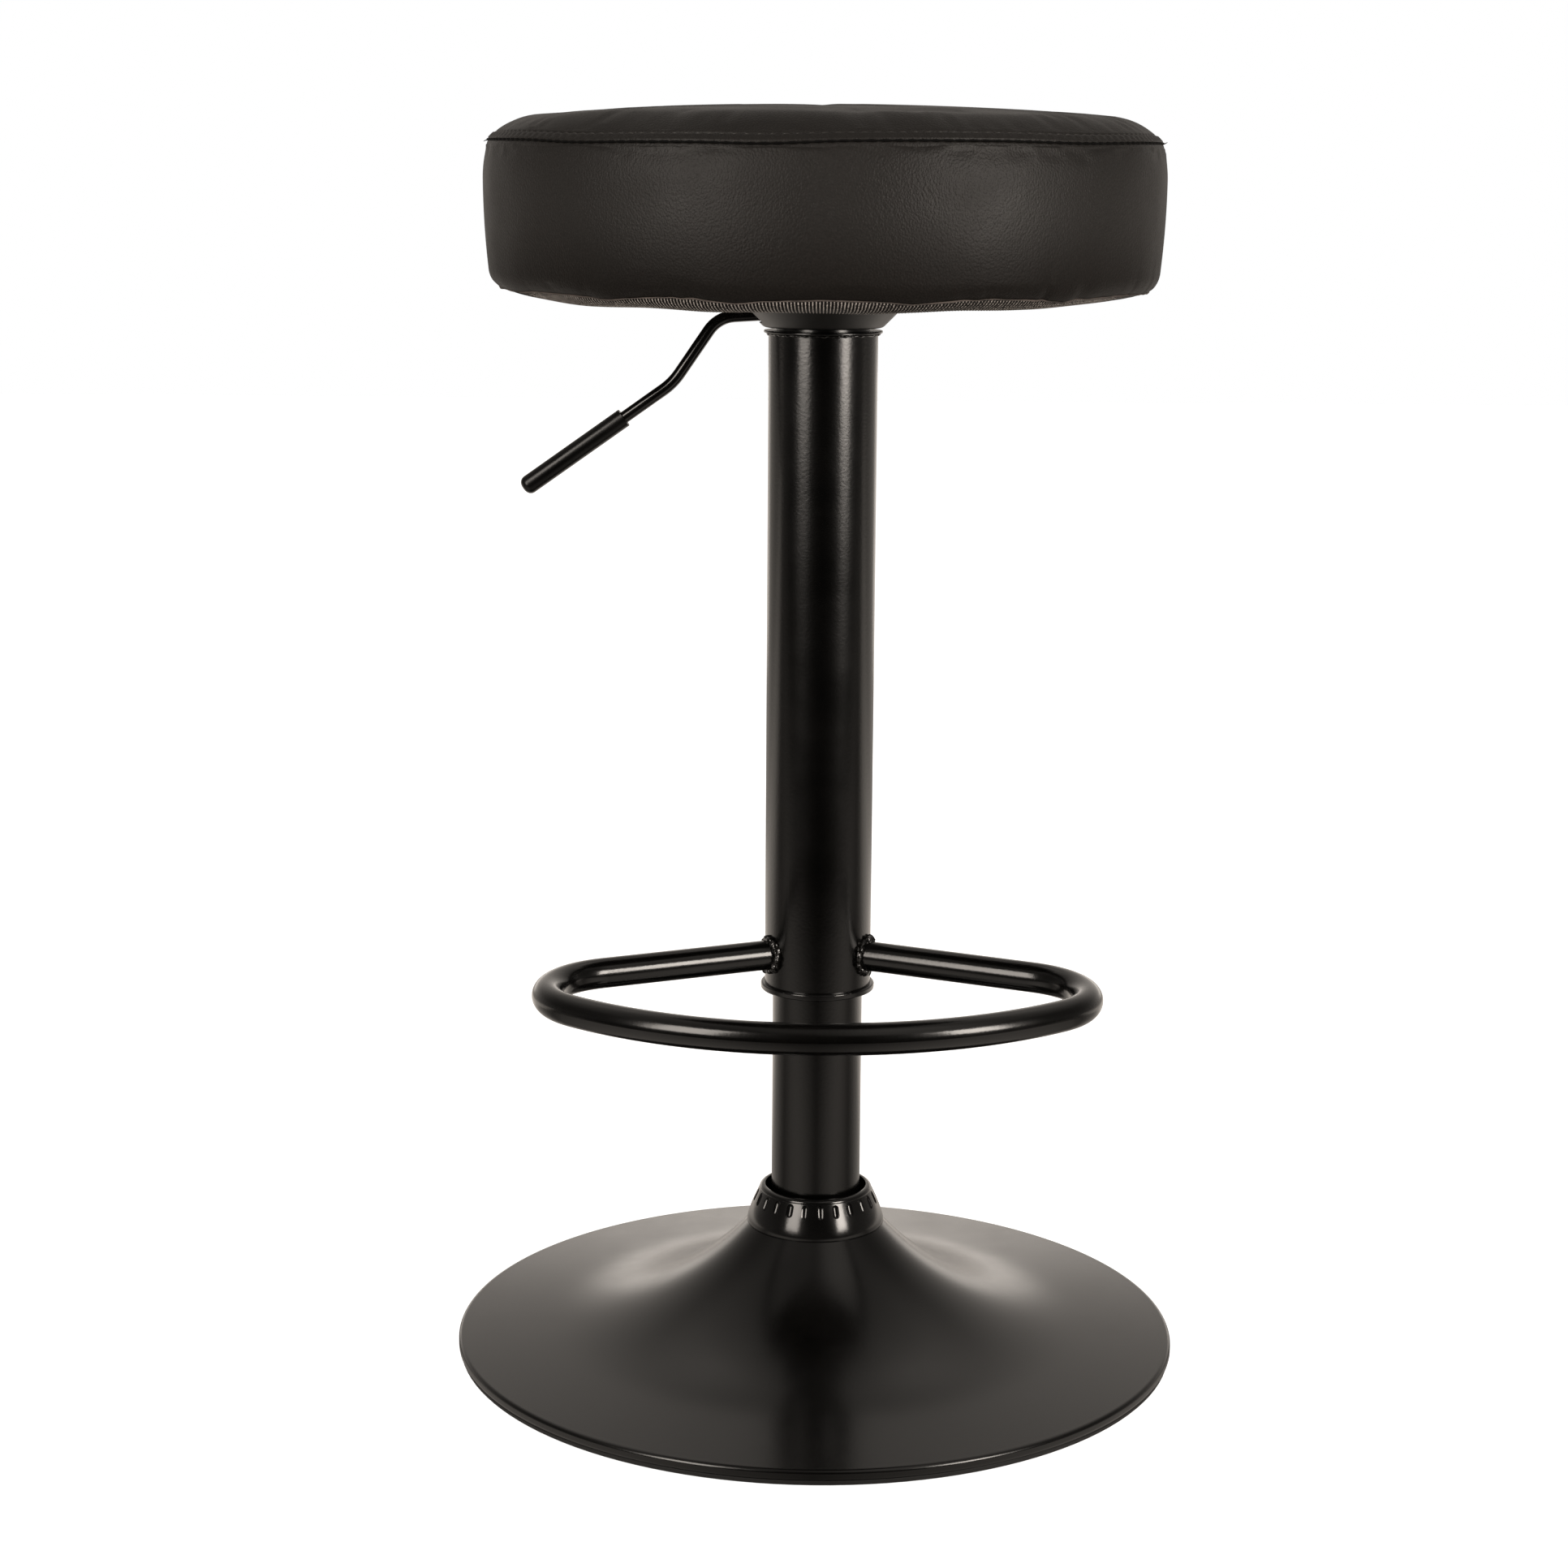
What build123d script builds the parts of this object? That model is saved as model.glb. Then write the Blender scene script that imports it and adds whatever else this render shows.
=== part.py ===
from build123d import *
import math
import os

# Bar stool on a gas lift: a trumpet base, a telescoping column with a footrest loop, and a round
# upholstered seat. Millimetres and degrees, +Z up, origin on the floor at the column's axis. The
# footrest points to -Y and the release lever to -X. The seat stands near the middle of its stroke.

# Trumpet base: one pressed sheet with a turned-down lip
BASE_RADIUS = 203.0
BASE_SHEET = 1.6
LIP_BOTTOM = 3.4
LIP_TOP = 8.5
LIP_ROUND = 2.4
RIM_SLOPE = 5.0
NECK_SLOPE = 48.0
TRUMPET_RADIUS = 170.0
COLLAR_SEAT_RADIUS = 38.6
COLLAR_SEAT_HEIGHT = 70.6
NECK_TOP_RADIUS = 30.0

# Ballast plate, hub and rubber ring under the base
PLATE_BOTTOM = 3.8
PLATE_TOP = 6.8
PLATE_RADIUS = 199.8
PLATE_HOLE = 16.0
HUB_RADIUS = 27.6
HUB_FLANGE_RADIUS = 35.35
HUB_FLANGE_DEPTH = 4.0
FLOOR_RING_RADIUS = 202.0
FLOOR_RING_WIDTH = 14.0
FLOOR_RING_HEIGHT = 3.0
FLOOR_RING_ROUND = 0.8
TONGUE_OUTER = 200.2
TONGUE_WIDTH = 4.2

# Lower column: a gas-lift standard tube whose foot is tapered into the hub
COLUMN_RADIUS = 25.0
COLUMN_WALL = 1.5
COLUMN_BOTTOM = 12.0
COLUMN_TAPER_TOP = 72.0
COLUMN_TAPER = 1.4
COLUMN_TOP = 430.0
FOOT_BOTTOM = 13.0
FOOT_TOP = 17.0
GUIDE_LENGTH = 100.0
GUIDE_FLANGE = 3.0

# Gas spring
RUNNING_FIT = 0.07
ROD_RADIUS = 5.0
ROD_END_RADIUS = 4.0
ROD_BOTTOM = 9.0
RACE_RADIUS = 11.5
RACE_THICKNESS = 2.0
BALL_RADIUS = 1.4
BALL_COUNT = 8
BALL_PITCH_RADIUS = 8.4
BALL_GAP = 0.1
RACE_FIT = 0.5
CAGE_THICKNESS = 1.2
BUMPER_RADIUS = 10.0
BUMPER_HEIGHT = 12.0
CLIP_RADIUS = 7.0
CLIP_THICKNESS = 1.2
WASHER_PLAY = 0.28
PISTON_BOTTOM = 388.0
PISTON_HEIGHT = 14.0
SEAL_HEIGHT = 4.0
SEAL_DEPTH = 1.6
CYLINDER_RADIUS = 14.0
CYLINDER_BORE = 12.8
CYLINDER_BOTTOM = 265.0
CYLINDER_TOP = 574.0
CYLINDER_HEAD = 18.0
CYLINDER_TAPER_HEIGHT = 40.0
CYLINDER_TAPER = 0.8
GLAND_LOW = 1.0
GLAND_HEIGHT = 18.0
BUTTON_RADIUS = 4.0
BUTTON_BOTTOM = 560.0
BUTTON_TOP = 581.2
BUTTON_ROUND = 1.0

# Upper tube, which carries the footrest up and down with the seat
TUBE_RADIUS = 29.5
TUBE_WALL = 1.5
TUBE_BOTTOM = 211.5
TUBE_TOP = 571.6
BUSH_FLANGE_RADIUS = 31.7
BUSH_FLANGE = 3.5
BUSH_LENGTH = 40.0
CAP_RADIUS = 32.0
CAP_RIM = 1.4
CAP_ROUND = 0.5
CAP_SPIGOT = 17.0
BUSH_ROUND = 0.9

# Footrest loop: two arms that point at the axis, two bends and one wide front arc
FOOTREST_HEIGHT = 229.5
FOOTREST_RADIUS = 8.25
FOOTREST_WALL = 1.5
FOOTREST_REACH = 178.0
FRONT_ARC_RADIUS = 194.0
BEND_RADIUS = 45.5
ARM_ANGLE = 25.3
WELD_LEG = 3.6
WELD_SLOPE = 46.0

# Collar over the base's neck
COLLAR_FOOT_RADIUS = 38.7
COLLAR_FOOT_INNER = 36.6
COLLAR_TURN = (38.75, 71.9)
COLLAR_BELLY = (38.2, 74.6)
COLLAR_WAIST = (36.3, 80.0)
COLLAR_FLANK = (34.2, 85.0)
COLLAR_RIM = (31.8, 90.2)
COLLAR_CREST = (30.7, 92.1)
COLLAR_MOUTH = (28.6, 92.4)
COLLAR_LIP = (28.6, 90.2)
COLLAR_INNER_RIM = (29.4, 89.6)
COLLAR_INNER_WAIST = (33.7, 80.0)
COLLAR_SLOTS = 24
COLLAR_SLOT_TURN = 5.0
COLLAR_SLOT_LENGTH = 7.8
COLLAR_SLOT_WIDTH = 4.0
COLLAR_SLOT_DEPTH = 1.2
COLLAR_SLOT_TILT = 24.0
COLLAR_SLOT_CENTRE = (33.65, 86.2)

# Seat plate: a pressed dish with a bolting flange, welded round the taper socket
DISH_BOTTOM = 574.5
DISH_SHEET = 2.0
DISH_RADIUS = 32.0
DISH_SLOPE = 45.0
DISH_ROUND = 3.5
FLANGE_BOTTOM = 592.4
FLANGE_RADIUS = 75.0
BOLT_CIRCLE = 62.0
BOLT_COUNT = 4
BOLT_TURN = 45.0
BOLT_RADIUS = 3.0
SOCKET_RADIUS = 25.0
SOCKET_BOTTOM = 545.0

# Release lever: a bent rod on a pin, whose flattened end lies over the button
LEVER_RADIUS = 3.3
LEVER_INNER = (-9.0, 582.6)
LEVER_ELBOW = (-56.6, 579.5)
LEVER_KNEE = (-80.9, 544.1)
LEVER_OUTER = (-158.0, 489.5)
ELBOW_RADIUS = 18.0
KNEE_RADIUS = 36.0
PIVOT_X = -27.0
PIN_RADIUS = 1.5
PAD_INNER_END = 4.0
PAD_LENGTH = 17.0
PAD_WIDTH = 8.0
PAD_THICKNESS = 3.4
PAD_BOTTOM = 581.5
EAR_GAP = 3.7
EAR_SHEET = 1.6
EAR_LENGTH = 6.5
EAR_TOP = 586.0
GRIP_RADIUS = 5.2
GRIP_END_ROUND = 3.9
GRIP_LENGTH = 67.0
GRIP_COVERED = 62.0
DISH_SLOT_WIDTH = 26.0
DISH_SLOT_BOTTOM = 577.0
DISH_SLOT_TOP = 588.0
DISH_SLOT_ROUND = 2.5

# Seat: plywood board, bolts, foam and a two-piece sewn cover
BOARD_RADIUS = 164.0
BOARD_THICKNESS = 12.0
NUT_BARREL = 4.2
NUT_BARREL_LENGTH = 9.0
NUT_FLANGE_RADIUS = 9.0
NUT_FLANGE = 1.2
BOLT_HEAD = 4.0
BOLT_FLATS = 5.0
WASHER_RADIUS = 7.0
WASHER_THICKNESS = 1.4
SEAT_TOP = 691.6
SEAM_RADIUS = 178.3
SEAM_HEIGHT = 672.0
SEAM_TURN = 45.0
SEAM_GAP = 0.6
SHOULDER_RADIUS = 42.0
SIDE_RADIUS = 181.2
SIDE_WIDEST = 652.0
UPPER_SIDE_ARC = 67.0
LOWER_SIDE_ARC = 450.0
BOTTOM_EDGE_ARC = 13.0
HEM_BOTTOM = 593.3
HEM_INNER = 140.0
COVER = 1.0
FOAM_INSET = 1.2
DUST_COVER = 0.6
DUST_COVER_INNER = 76.0
DUST_ROLL_INNER = 148.0
DUST_ROLL_LOWEST = (160.0, 589.8)
DUST_ROLL_TURN = -58.0


def tan(angle):
    """Tangent of an angle in degrees."""
    return math.tan(math.radians(angle))


def polar(centre, radius, angle):
    """The point at an angle in degrees on a circle in a half section."""
    turn = math.radians(angle)
    return (centre[0] + radius * math.cos(turn), centre[1] + radius * math.sin(turn))


def turned(*corners):
    """A solid turned about the column's axis from its half section's corners (radius, height)."""
    with BuildPart() as piece:
        with BuildSketch(Plane.XZ):
            with BuildLine():
                Polyline(*corners, close=True)
            make_face()
        revolve(axis=Axis.Z)
    return piece


def ring(inner, outer, low, high):
    """A plain ring about the column's axis between two heights."""
    return turned((inner, low), (outer, low), (outer, high), (inner, high))


pieces = {}

# Base shell: lip, nearly flat rim, one wide concave arc, and a steep neck
rim_rise = tan(RIM_SLOPE)
neck_rise = tan(NECK_SLOPE)
neck_base = COLLAR_SEAT_HEIGHT + COLLAR_SEAT_RADIUS * neck_rise
corner_radius = (neck_base - LIP_TOP - BASE_RADIUS * rim_rise) / (neck_rise - rim_rise)
shell_corner = (corner_radius, neck_base - corner_radius * neck_rise)
neck_top = (NECK_TOP_RADIUS, neck_base - NECK_TOP_RADIUS * neck_rise)
with BuildPart() as base_shell:
    with BuildSketch(Plane.XZ):
        with BuildLine():
            FilletPolyline(
                (BASE_RADIUS, LIP_BOTTOM),
                (BASE_RADIUS, LIP_TOP),
                shell_corner,
                neck_top,
                radius=[LIP_ROUND, TRUMPET_RADIUS],
            )
            offset(amount=BASE_SHEET, side=Side.LEFT)
        make_face()
    revolve(axis=Axis.Z)
pieces["base_shell"] = base_shell

# Ballast plate held inside the lip, and the hub that is welded on it and up into the neck
pieces["base_plate"] = ring(PLATE_HOLE, PLATE_RADIUS, PLATE_BOTTOM, PLATE_TOP)
column_foot_radius = COLUMN_RADIUS - COLUMN_TAPER
inside = (BASE_SHEET * math.sin(math.radians(NECK_SLOPE)), BASE_SHEET * math.cos(math.radians(NECK_SLOPE)))
hub_top = (neck_top[0] - inside[0], neck_top[1] - inside[1])
hub_shoulder = hub_top[1] - (HUB_FLANGE_RADIUS - hub_top[0]) * neck_rise
pieces["hub_sleeve"] = turned(
    (column_foot_radius, PLATE_TOP),
    (HUB_RADIUS, PLATE_TOP),
    (HUB_RADIUS, hub_shoulder - 2 * HUB_FLANGE_DEPTH),
    (HUB_FLANGE_RADIUS, hub_shoulder - HUB_FLANGE_DEPTH),
    (HUB_FLANGE_RADIUS, hub_shoulder),
    hub_top,
    (COLUMN_RADIUS, hub_top[1]),
    (COLUMN_RADIUS, COLUMN_TAPER_TOP),
    (column_foot_radius, COLUMN_BOTTOM),
)

# Rubber ring that the stool stands on, with a tongue that plugs into the lip
tongue_inner = TONGUE_OUTER - TONGUE_WIDTH
pieces["floor_ring"] = turned(
    (FLOOR_RING_RADIUS - FLOOR_RING_WIDTH, 0),
    (FLOOR_RING_RADIUS - FLOOR_RING_ROUND, 0),
    (FLOOR_RING_RADIUS, FLOOR_RING_ROUND),
    (FLOOR_RING_RADIUS, FLOOR_RING_HEIGHT - FLOOR_RING_ROUND),
    (FLOOR_RING_RADIUS - FLOOR_RING_ROUND, FLOOR_RING_HEIGHT),
    (TONGUE_OUTER, FLOOR_RING_HEIGHT),
    (TONGUE_OUTER, PLATE_BOTTOM),
    (tongue_inner, PLATE_BOTTOM),
    (tongue_inner, FLOOR_RING_HEIGHT),
    (FLOOR_RING_RADIUS - FLOOR_RING_WIDTH, FLOOR_RING_HEIGHT),
)

# Lower column with its tapered foot, the disc crimped into that foot, and the guide in its mouth
column_bore = COLUMN_RADIUS - COLUMN_WALL
pieces["lower_column"] = turned(
    (column_foot_radius, COLUMN_BOTTOM),
    (COLUMN_RADIUS, COLUMN_TAPER_TOP),
    (COLUMN_RADIUS, COLUMN_TOP),
    (column_bore, COLUMN_TOP),
    (column_bore, COLUMN_TAPER_TOP),
    (column_foot_radius - COLUMN_WALL, COLUMN_BOTTOM),
)


def foot_bore(height):
    """Inner radius of the column's tapered foot at a height."""
    share = (height - COLUMN_BOTTOM) / (COLUMN_TAPER_TOP - COLUMN_BOTTOM)
    return column_foot_radius - COLUMN_WALL + COLUMN_TAPER * share


pieces["column_foot"] = turned(
    (ROD_END_RADIUS + RUNNING_FIT, FOOT_BOTTOM),
    (foot_bore(FOOT_BOTTOM), FOOT_BOTTOM),
    (foot_bore(FOOT_TOP), FOOT_TOP),
    (ROD_END_RADIUS + RUNNING_FIT, FOOT_TOP),
)
guide_bore = CYLINDER_RADIUS + RUNNING_FIT
pieces["column_guide"] = turned(
    (guide_bore, COLUMN_TOP - GUIDE_LENGTH),
    (column_bore, COLUMN_TOP - GUIDE_LENGTH),
    (column_bore, COLUMN_TOP),
    (COLUMN_RADIUS, COLUMN_TOP),
    (COLUMN_RADIUS, COLUMN_TOP + GUIDE_FLANGE),
    (guide_bore, COLUMN_TOP + GUIDE_FLANGE),
)

# Thrust bearing that the seat swivels on
race_bore = ROD_END_RADIUS + RACE_FIT
ball_low = FOOT_TOP + RACE_THICKNESS
ball_centre = ball_low + BALL_GAP + BALL_RADIUS
ball_high = ball_centre + BALL_RADIUS + BALL_GAP
pieces["bearing_lower_race"] = ring(race_bore, RACE_RADIUS, FOOT_TOP, ball_low)
with BuildPart() as bearing_balls:
    with Locations((0, 0, ball_centre)):
        with PolarLocations(BALL_PITCH_RADIUS, BALL_COUNT):
            Sphere(BALL_RADIUS)
pieces["bearing_balls"] = bearing_balls
with BuildPart() as bearing_cage:
    with BuildSketch(Plane.XY.offset(ball_centre - CAGE_THICKNESS / 2)):
        Circle(RACE_RADIUS)
        Circle(race_bore, mode=Mode.SUBTRACT)
        with PolarLocations(BALL_PITCH_RADIUS, BALL_COUNT):
            Circle(BALL_RADIUS + BALL_GAP, mode=Mode.SUBTRACT)
    extrude(amount=CAGE_THICKNESS)
pieces["bearing_cage"] = bearing_cage
rod_shoulder = ball_high + RACE_THICKNESS
pieces["bearing_upper_race"] = ring(ROD_END_RADIUS, RACE_RADIUS, ball_high, rod_shoulder)

# Piston rod, which turns on the bearing, with its bumper, piston, seal, and the clip under the foot
piston_top = PISTON_BOTTOM + PISTON_HEIGHT
pieces["piston_rod"] = turned(
    (0, ROD_BOTTOM),
    (ROD_END_RADIUS, ROD_BOTTOM),
    (ROD_END_RADIUS, rod_shoulder),
    (ROD_RADIUS, rod_shoulder),
    (ROD_RADIUS, PISTON_BOTTOM),
    (ROD_END_RADIUS, PISTON_BOTTOM),
    (ROD_END_RADIUS, piston_top),
    (0, piston_top),
)
pieces["rod_bumper"] = ring(ROD_RADIUS, BUMPER_RADIUS, rod_shoulder, rod_shoulder + BUMPER_HEIGHT)
piston_radius = CYLINDER_BORE - RUNNING_FIT
seal_low = PISTON_BOTTOM + (PISTON_HEIGHT - SEAL_HEIGHT) / 2
seal_high = seal_low + SEAL_HEIGHT
pieces["piston"] = turned(
    (ROD_END_RADIUS, PISTON_BOTTOM),
    (piston_radius, PISTON_BOTTOM),
    (piston_radius, seal_low),
    (piston_radius - SEAL_DEPTH, seal_low),
    (piston_radius - SEAL_DEPTH, seal_high),
    (piston_radius, seal_high),
    (piston_radius, piston_top),
    (ROD_END_RADIUS, piston_top),
)
pieces["piston_seal"] = ring(piston_radius - SEAL_DEPTH, piston_radius, seal_low, seal_high)
washer_high = FOOT_BOTTOM - WASHER_PLAY
washer_low = washer_high - CLIP_THICKNESS
pieces["rod_washer"] = ring(ROD_END_RADIUS, CLIP_RADIUS, washer_low, washer_high)
with BuildPart() as rod_clip:
    with BuildSketch(Plane.XY.offset(washer_low)):
        Circle(CLIP_RADIUS)
        Circle(ROD_END_RADIUS, mode=Mode.SUBTRACT)
        with Locations((CLIP_RADIUS, 0)):
            Rectangle(2 * CLIP_RADIUS, ROD_END_RADIUS, mode=Mode.SUBTRACT)
    extrude(amount=-CLIP_THICKNESS)
pieces["rod_clip"] = rod_clip

# Gas cylinder, upside down over the rod, with its gland at the bottom and its taper at the top
taper_low = CYLINDER_TOP - CYLINDER_TAPER_HEIGHT
button_bore = BUTTON_RADIUS + RUNNING_FIT
pieces["gas_cylinder"] = turned(
    (CYLINDER_BORE, CYLINDER_BOTTOM),
    (CYLINDER_RADIUS, CYLINDER_BOTTOM),
    (CYLINDER_RADIUS, taper_low),
    (CYLINDER_RADIUS - CYLINDER_TAPER, CYLINDER_TOP),
    (button_bore, CYLINDER_TOP),
    (button_bore, CYLINDER_TOP - CYLINDER_HEAD),
    (CYLINDER_BORE, CYLINDER_TOP - CYLINDER_HEAD),
)
gland_low = CYLINDER_BOTTOM + GLAND_LOW
pieces["cylinder_gland"] = ring(ROD_RADIUS + RUNNING_FIT, CYLINDER_BORE, gland_low, gland_low + GLAND_HEIGHT)
with BuildPart() as valve_button:
    with BuildSketch(Plane.XY.offset(BUTTON_BOTTOM)):
        Circle(BUTTON_RADIUS)
    extrude(amount=BUTTON_TOP - BUTTON_BOTTOM)
    fillet(valve_button.edges().group_by(Axis.Z)[-1], BUTTON_ROUND)
pieces["valve_button"] = valve_button


# Taper socket that grips the cylinder, the cap that centres the tube on it, the tube and its bush
def taper_bore(height):
    """Radius of the cylinder's taper at a height."""
    return CYLINDER_RADIUS - CYLINDER_TAPER * (height - taper_low) / CYLINDER_TAPER_HEIGHT


socket_top = DISH_BOTTOM + DISH_SHEET
pieces["taper_socket"] = turned(
    (taper_bore(SOCKET_BOTTOM), SOCKET_BOTTOM),
    (SOCKET_RADIUS, SOCKET_BOTTOM),
    (SOCKET_RADIUS, socket_top),
    (taper_bore(socket_top), socket_top),
)
tube_bore = TUBE_RADIUS - TUBE_WALL
pieces["upper_tube"] = ring(tube_bore, TUBE_RADIUS, TUBE_BOTTOM, TUBE_TOP)
with BuildPart() as tube_cap:
    with BuildSketch(Plane.XY.offset(TUBE_TOP)):
        Circle(CAP_RADIUS)
    extrude(amount=CAP_RIM)
    fillet(tube_cap.edges(), CAP_ROUND)
    with BuildSketch(Plane.XY.offset(TUBE_TOP)):
        Circle(tube_bore)
    extrude(amount=-CAP_SPIGOT)
    with BuildSketch(Plane.XY.offset(TUBE_TOP + CAP_RIM)):
        Circle(SOCKET_RADIUS)
    extrude(amount=-CAP_RIM - CAP_SPIGOT, mode=Mode.SUBTRACT)
pieces["tube_cap"] = tube_cap
with BuildPart() as tube_bush:
    with BuildSketch(Plane.XY.offset(TUBE_BOTTOM)):
        Circle(BUSH_FLANGE_RADIUS)
    extrude(amount=-BUSH_FLANGE)
    fillet(tube_bush.edges(), BUSH_ROUND)
    with BuildSketch(Plane.XY.offset(TUBE_BOTTOM)):
        Circle(tube_bore)
    extrude(amount=BUSH_LENGTH)
    with BuildSketch(Plane.XY.offset(TUBE_BOTTOM - BUSH_FLANGE)):
        Circle(COLUMN_RADIUS + RUNNING_FIT)
    extrude(amount=BUSH_FLANGE + BUSH_LENGTH, mode=Mode.SUBTRACT)
pieces["tube_bush"] = tube_bush

# Footrest: half the loop is swept, mirrored, and cut to saddle on the tube. The bend is tangent to
# the arm's line on one side and lies inside the front arc on the other.
arm_turn = math.radians(ARM_ANGLE)
arm_along = Vector(math.cos(arm_turn), -math.sin(arm_turn))
arm_inward = Vector(-math.sin(arm_turn), -math.cos(arm_turn))
front_centre = Vector(0, FRONT_ARC_RADIUS - FOOTREST_REACH)
offset_centre = arm_inward * BEND_RADIUS - front_centre
half_linear = offset_centre.dot(arm_along)
reach_square = (FRONT_ARC_RADIUS - BEND_RADIUS) ** 2 - offset_centre.dot(offset_centre)
arm_length = -half_linear + math.sqrt(half_linear**2 + reach_square)
arm_end = arm_along * arm_length
bend_centre = arm_end + arm_inward * BEND_RADIUS
bend_end = math.degrees(math.atan2(bend_centre.Y - front_centre.Y, bend_centre.X))
with BuildPart() as footrest:
    with BuildLine(Plane.XY.offset(FOOTREST_HEIGHT)) as half_loop:
        arm = Line(tuple(arm_along * (TUBE_RADIUS / 2)), tuple(arm_end))
        CenterArc(tuple(bend_centre), BEND_RADIUS, 90 - ARM_ANGLE, bend_end - 90 + ARM_ANGLE)
        CenterArc(tuple(front_centre), FRONT_ARC_RADIUS, bend_end, -90 - bend_end)
    with BuildSketch(Plane(origin=arm @ 0, z_dir=arm % 0)):
        Circle(FOOTREST_RADIUS)
        Circle(FOOTREST_RADIUS - FOOTREST_WALL, mode=Mode.SUBTRACT)
    sweep(path=half_loop.wire())
    mirror(about=Plane.YZ)
    with BuildSketch(Plane.XY.offset(FOOTREST_HEIGHT - 2 * FOOTREST_RADIUS)):
        Circle(TUBE_RADIUS)
    extrude(amount=4 * FOOTREST_RADIUS, mode=Mode.SUBTRACT)
pieces["footrest"] = footrest

# Weld beads round the arms' roots: cones on the arms, cut by the tube and by the arms themselves
arm_planes = [
    Plane(origin=(0, 0, FOOTREST_HEIGHT), z_dir=(side * arm_along.X, arm_along.Y, 0)) for side in (1, -1)
]
weld_start = TUBE_RADIUS - WELD_LEG
with BuildPart() as footrest_welds:
    with BuildSketch(*[plane.offset(weld_start) for plane in arm_planes]):
        Circle(FOOTREST_RADIUS + 2 * WELD_LEG)
    extrude(amount=2 * WELD_LEG, taper=WELD_SLOPE)
    with BuildSketch(*arm_planes):
        Circle(FOOTREST_RADIUS)
    extrude(amount=2 * TUBE_RADIUS, mode=Mode.SUBTRACT)
    with BuildSketch(Plane.XY.offset(FOOTREST_HEIGHT - TUBE_RADIUS)):
        Circle(TUBE_RADIUS)
    extrude(amount=2 * TUBE_RADIUS, mode=Mode.SUBTRACT)
pieces["footrest_welds"] = footrest_welds

# Collar: a thin bell moulding that sits on the neck, with blind slots all round its flank
collar_foot = (COLLAR_FOOT_RADIUS, neck_base - COLLAR_FOOT_RADIUS * neck_rise)
collar_foot_inner = (COLLAR_FOOT_INNER, neck_base - COLLAR_FOOT_INNER * neck_rise)
slot_tilt = math.radians(COLLAR_SLOT_TILT)
slot_planes = []
for slot in range(COLLAR_SLOTS):
    turn = math.radians(COLLAR_SLOT_TURN + slot * 360 / COLLAR_SLOTS)
    outward = Vector(math.sin(turn), -math.cos(turn), 0)
    upward = Vector(0, 0, 1)
    slot_normal = outward * math.cos(slot_tilt) + upward * math.sin(slot_tilt)
    slot_along = upward * math.cos(slot_tilt) - outward * math.sin(slot_tilt)
    slot_centre = outward * COLLAR_SLOT_CENTRE[0] + upward * COLLAR_SLOT_CENTRE[1]
    slot_floor = slot_centre - slot_normal * COLLAR_SLOT_DEPTH
    slot_planes.append(Plane(slot_floor, x_dir=slot_along, z_dir=slot_normal))
with BuildPart() as base_collar:
    with BuildSketch(Plane.XZ):
        with BuildLine():
            Spline(collar_foot, COLLAR_TURN, COLLAR_BELLY, COLLAR_WAIST, COLLAR_FLANK, COLLAR_RIM)
            ThreePointArc(COLLAR_RIM, COLLAR_CREST, COLLAR_MOUTH)
            Polyline(
                COLLAR_MOUTH,
                COLLAR_LIP,
                COLLAR_INNER_RIM,
                COLLAR_INNER_WAIST,
                collar_foot_inner,
                collar_foot,
            )
        make_face()
    revolve(axis=Axis.Z)
    with BuildSketch(*slot_planes):
        SlotOverall(COLLAR_SLOT_LENGTH, COLLAR_SLOT_WIDTH)
    extrude(amount=2 * COLLAR_SLOT_DEPTH, mode=Mode.SUBTRACT)
pieces["base_collar"] = base_collar

# Seat plate with its lever slot and bolt holes
flange_start = DISH_RADIUS + (FLANGE_BOTTOM - DISH_BOTTOM) / tan(DISH_SLOPE)
flange_top = FLANGE_BOTTOM + DISH_SHEET


def lever_height(along):
    """Height of the lever's straight inner run at a place along X."""
    rise = (LEVER_INNER[1] - LEVER_ELBOW[1]) / (LEVER_INNER[0] - LEVER_ELBOW[0])
    return LEVER_INNER[1] + (along - LEVER_INNER[0]) * rise


with BuildPart() as seat_plate:
    with BuildSketch(Plane.XZ):
        with BuildLine():
            FilletPolyline(
                (SOCKET_RADIUS, DISH_BOTTOM),
                (DISH_RADIUS, DISH_BOTTOM),
                (flange_start, FLANGE_BOTTOM),
                (FLANGE_RADIUS, FLANGE_BOTTOM),
                radius=[DISH_ROUND, DISH_ROUND],
            )
            offset(amount=DISH_SHEET, side=Side.LEFT)
        make_face()
    revolve(axis=Axis.Z)
    with BuildSketch(Plane.YZ.offset(-SOCKET_RADIUS)):
        with Locations((0, (DISH_SLOT_BOTTOM + DISH_SLOT_TOP) / 2)):
            RectangleRounded(DISH_SLOT_WIDTH, DISH_SLOT_TOP - DISH_SLOT_BOTTOM, DISH_SLOT_ROUND)
    extrude(amount=-SOCKET_RADIUS, mode=Mode.SUBTRACT)
    with BuildSketch(Plane.XY.offset(FLANGE_BOTTOM)):
        with PolarLocations(BOLT_CIRCLE, BOLT_COUNT, start_angle=BOLT_TURN):
            Circle(BOLT_RADIUS)
    extrude(amount=DISH_SHEET, mode=Mode.SUBTRACT)
pieces["seat_plate"] = seat_plate

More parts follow.
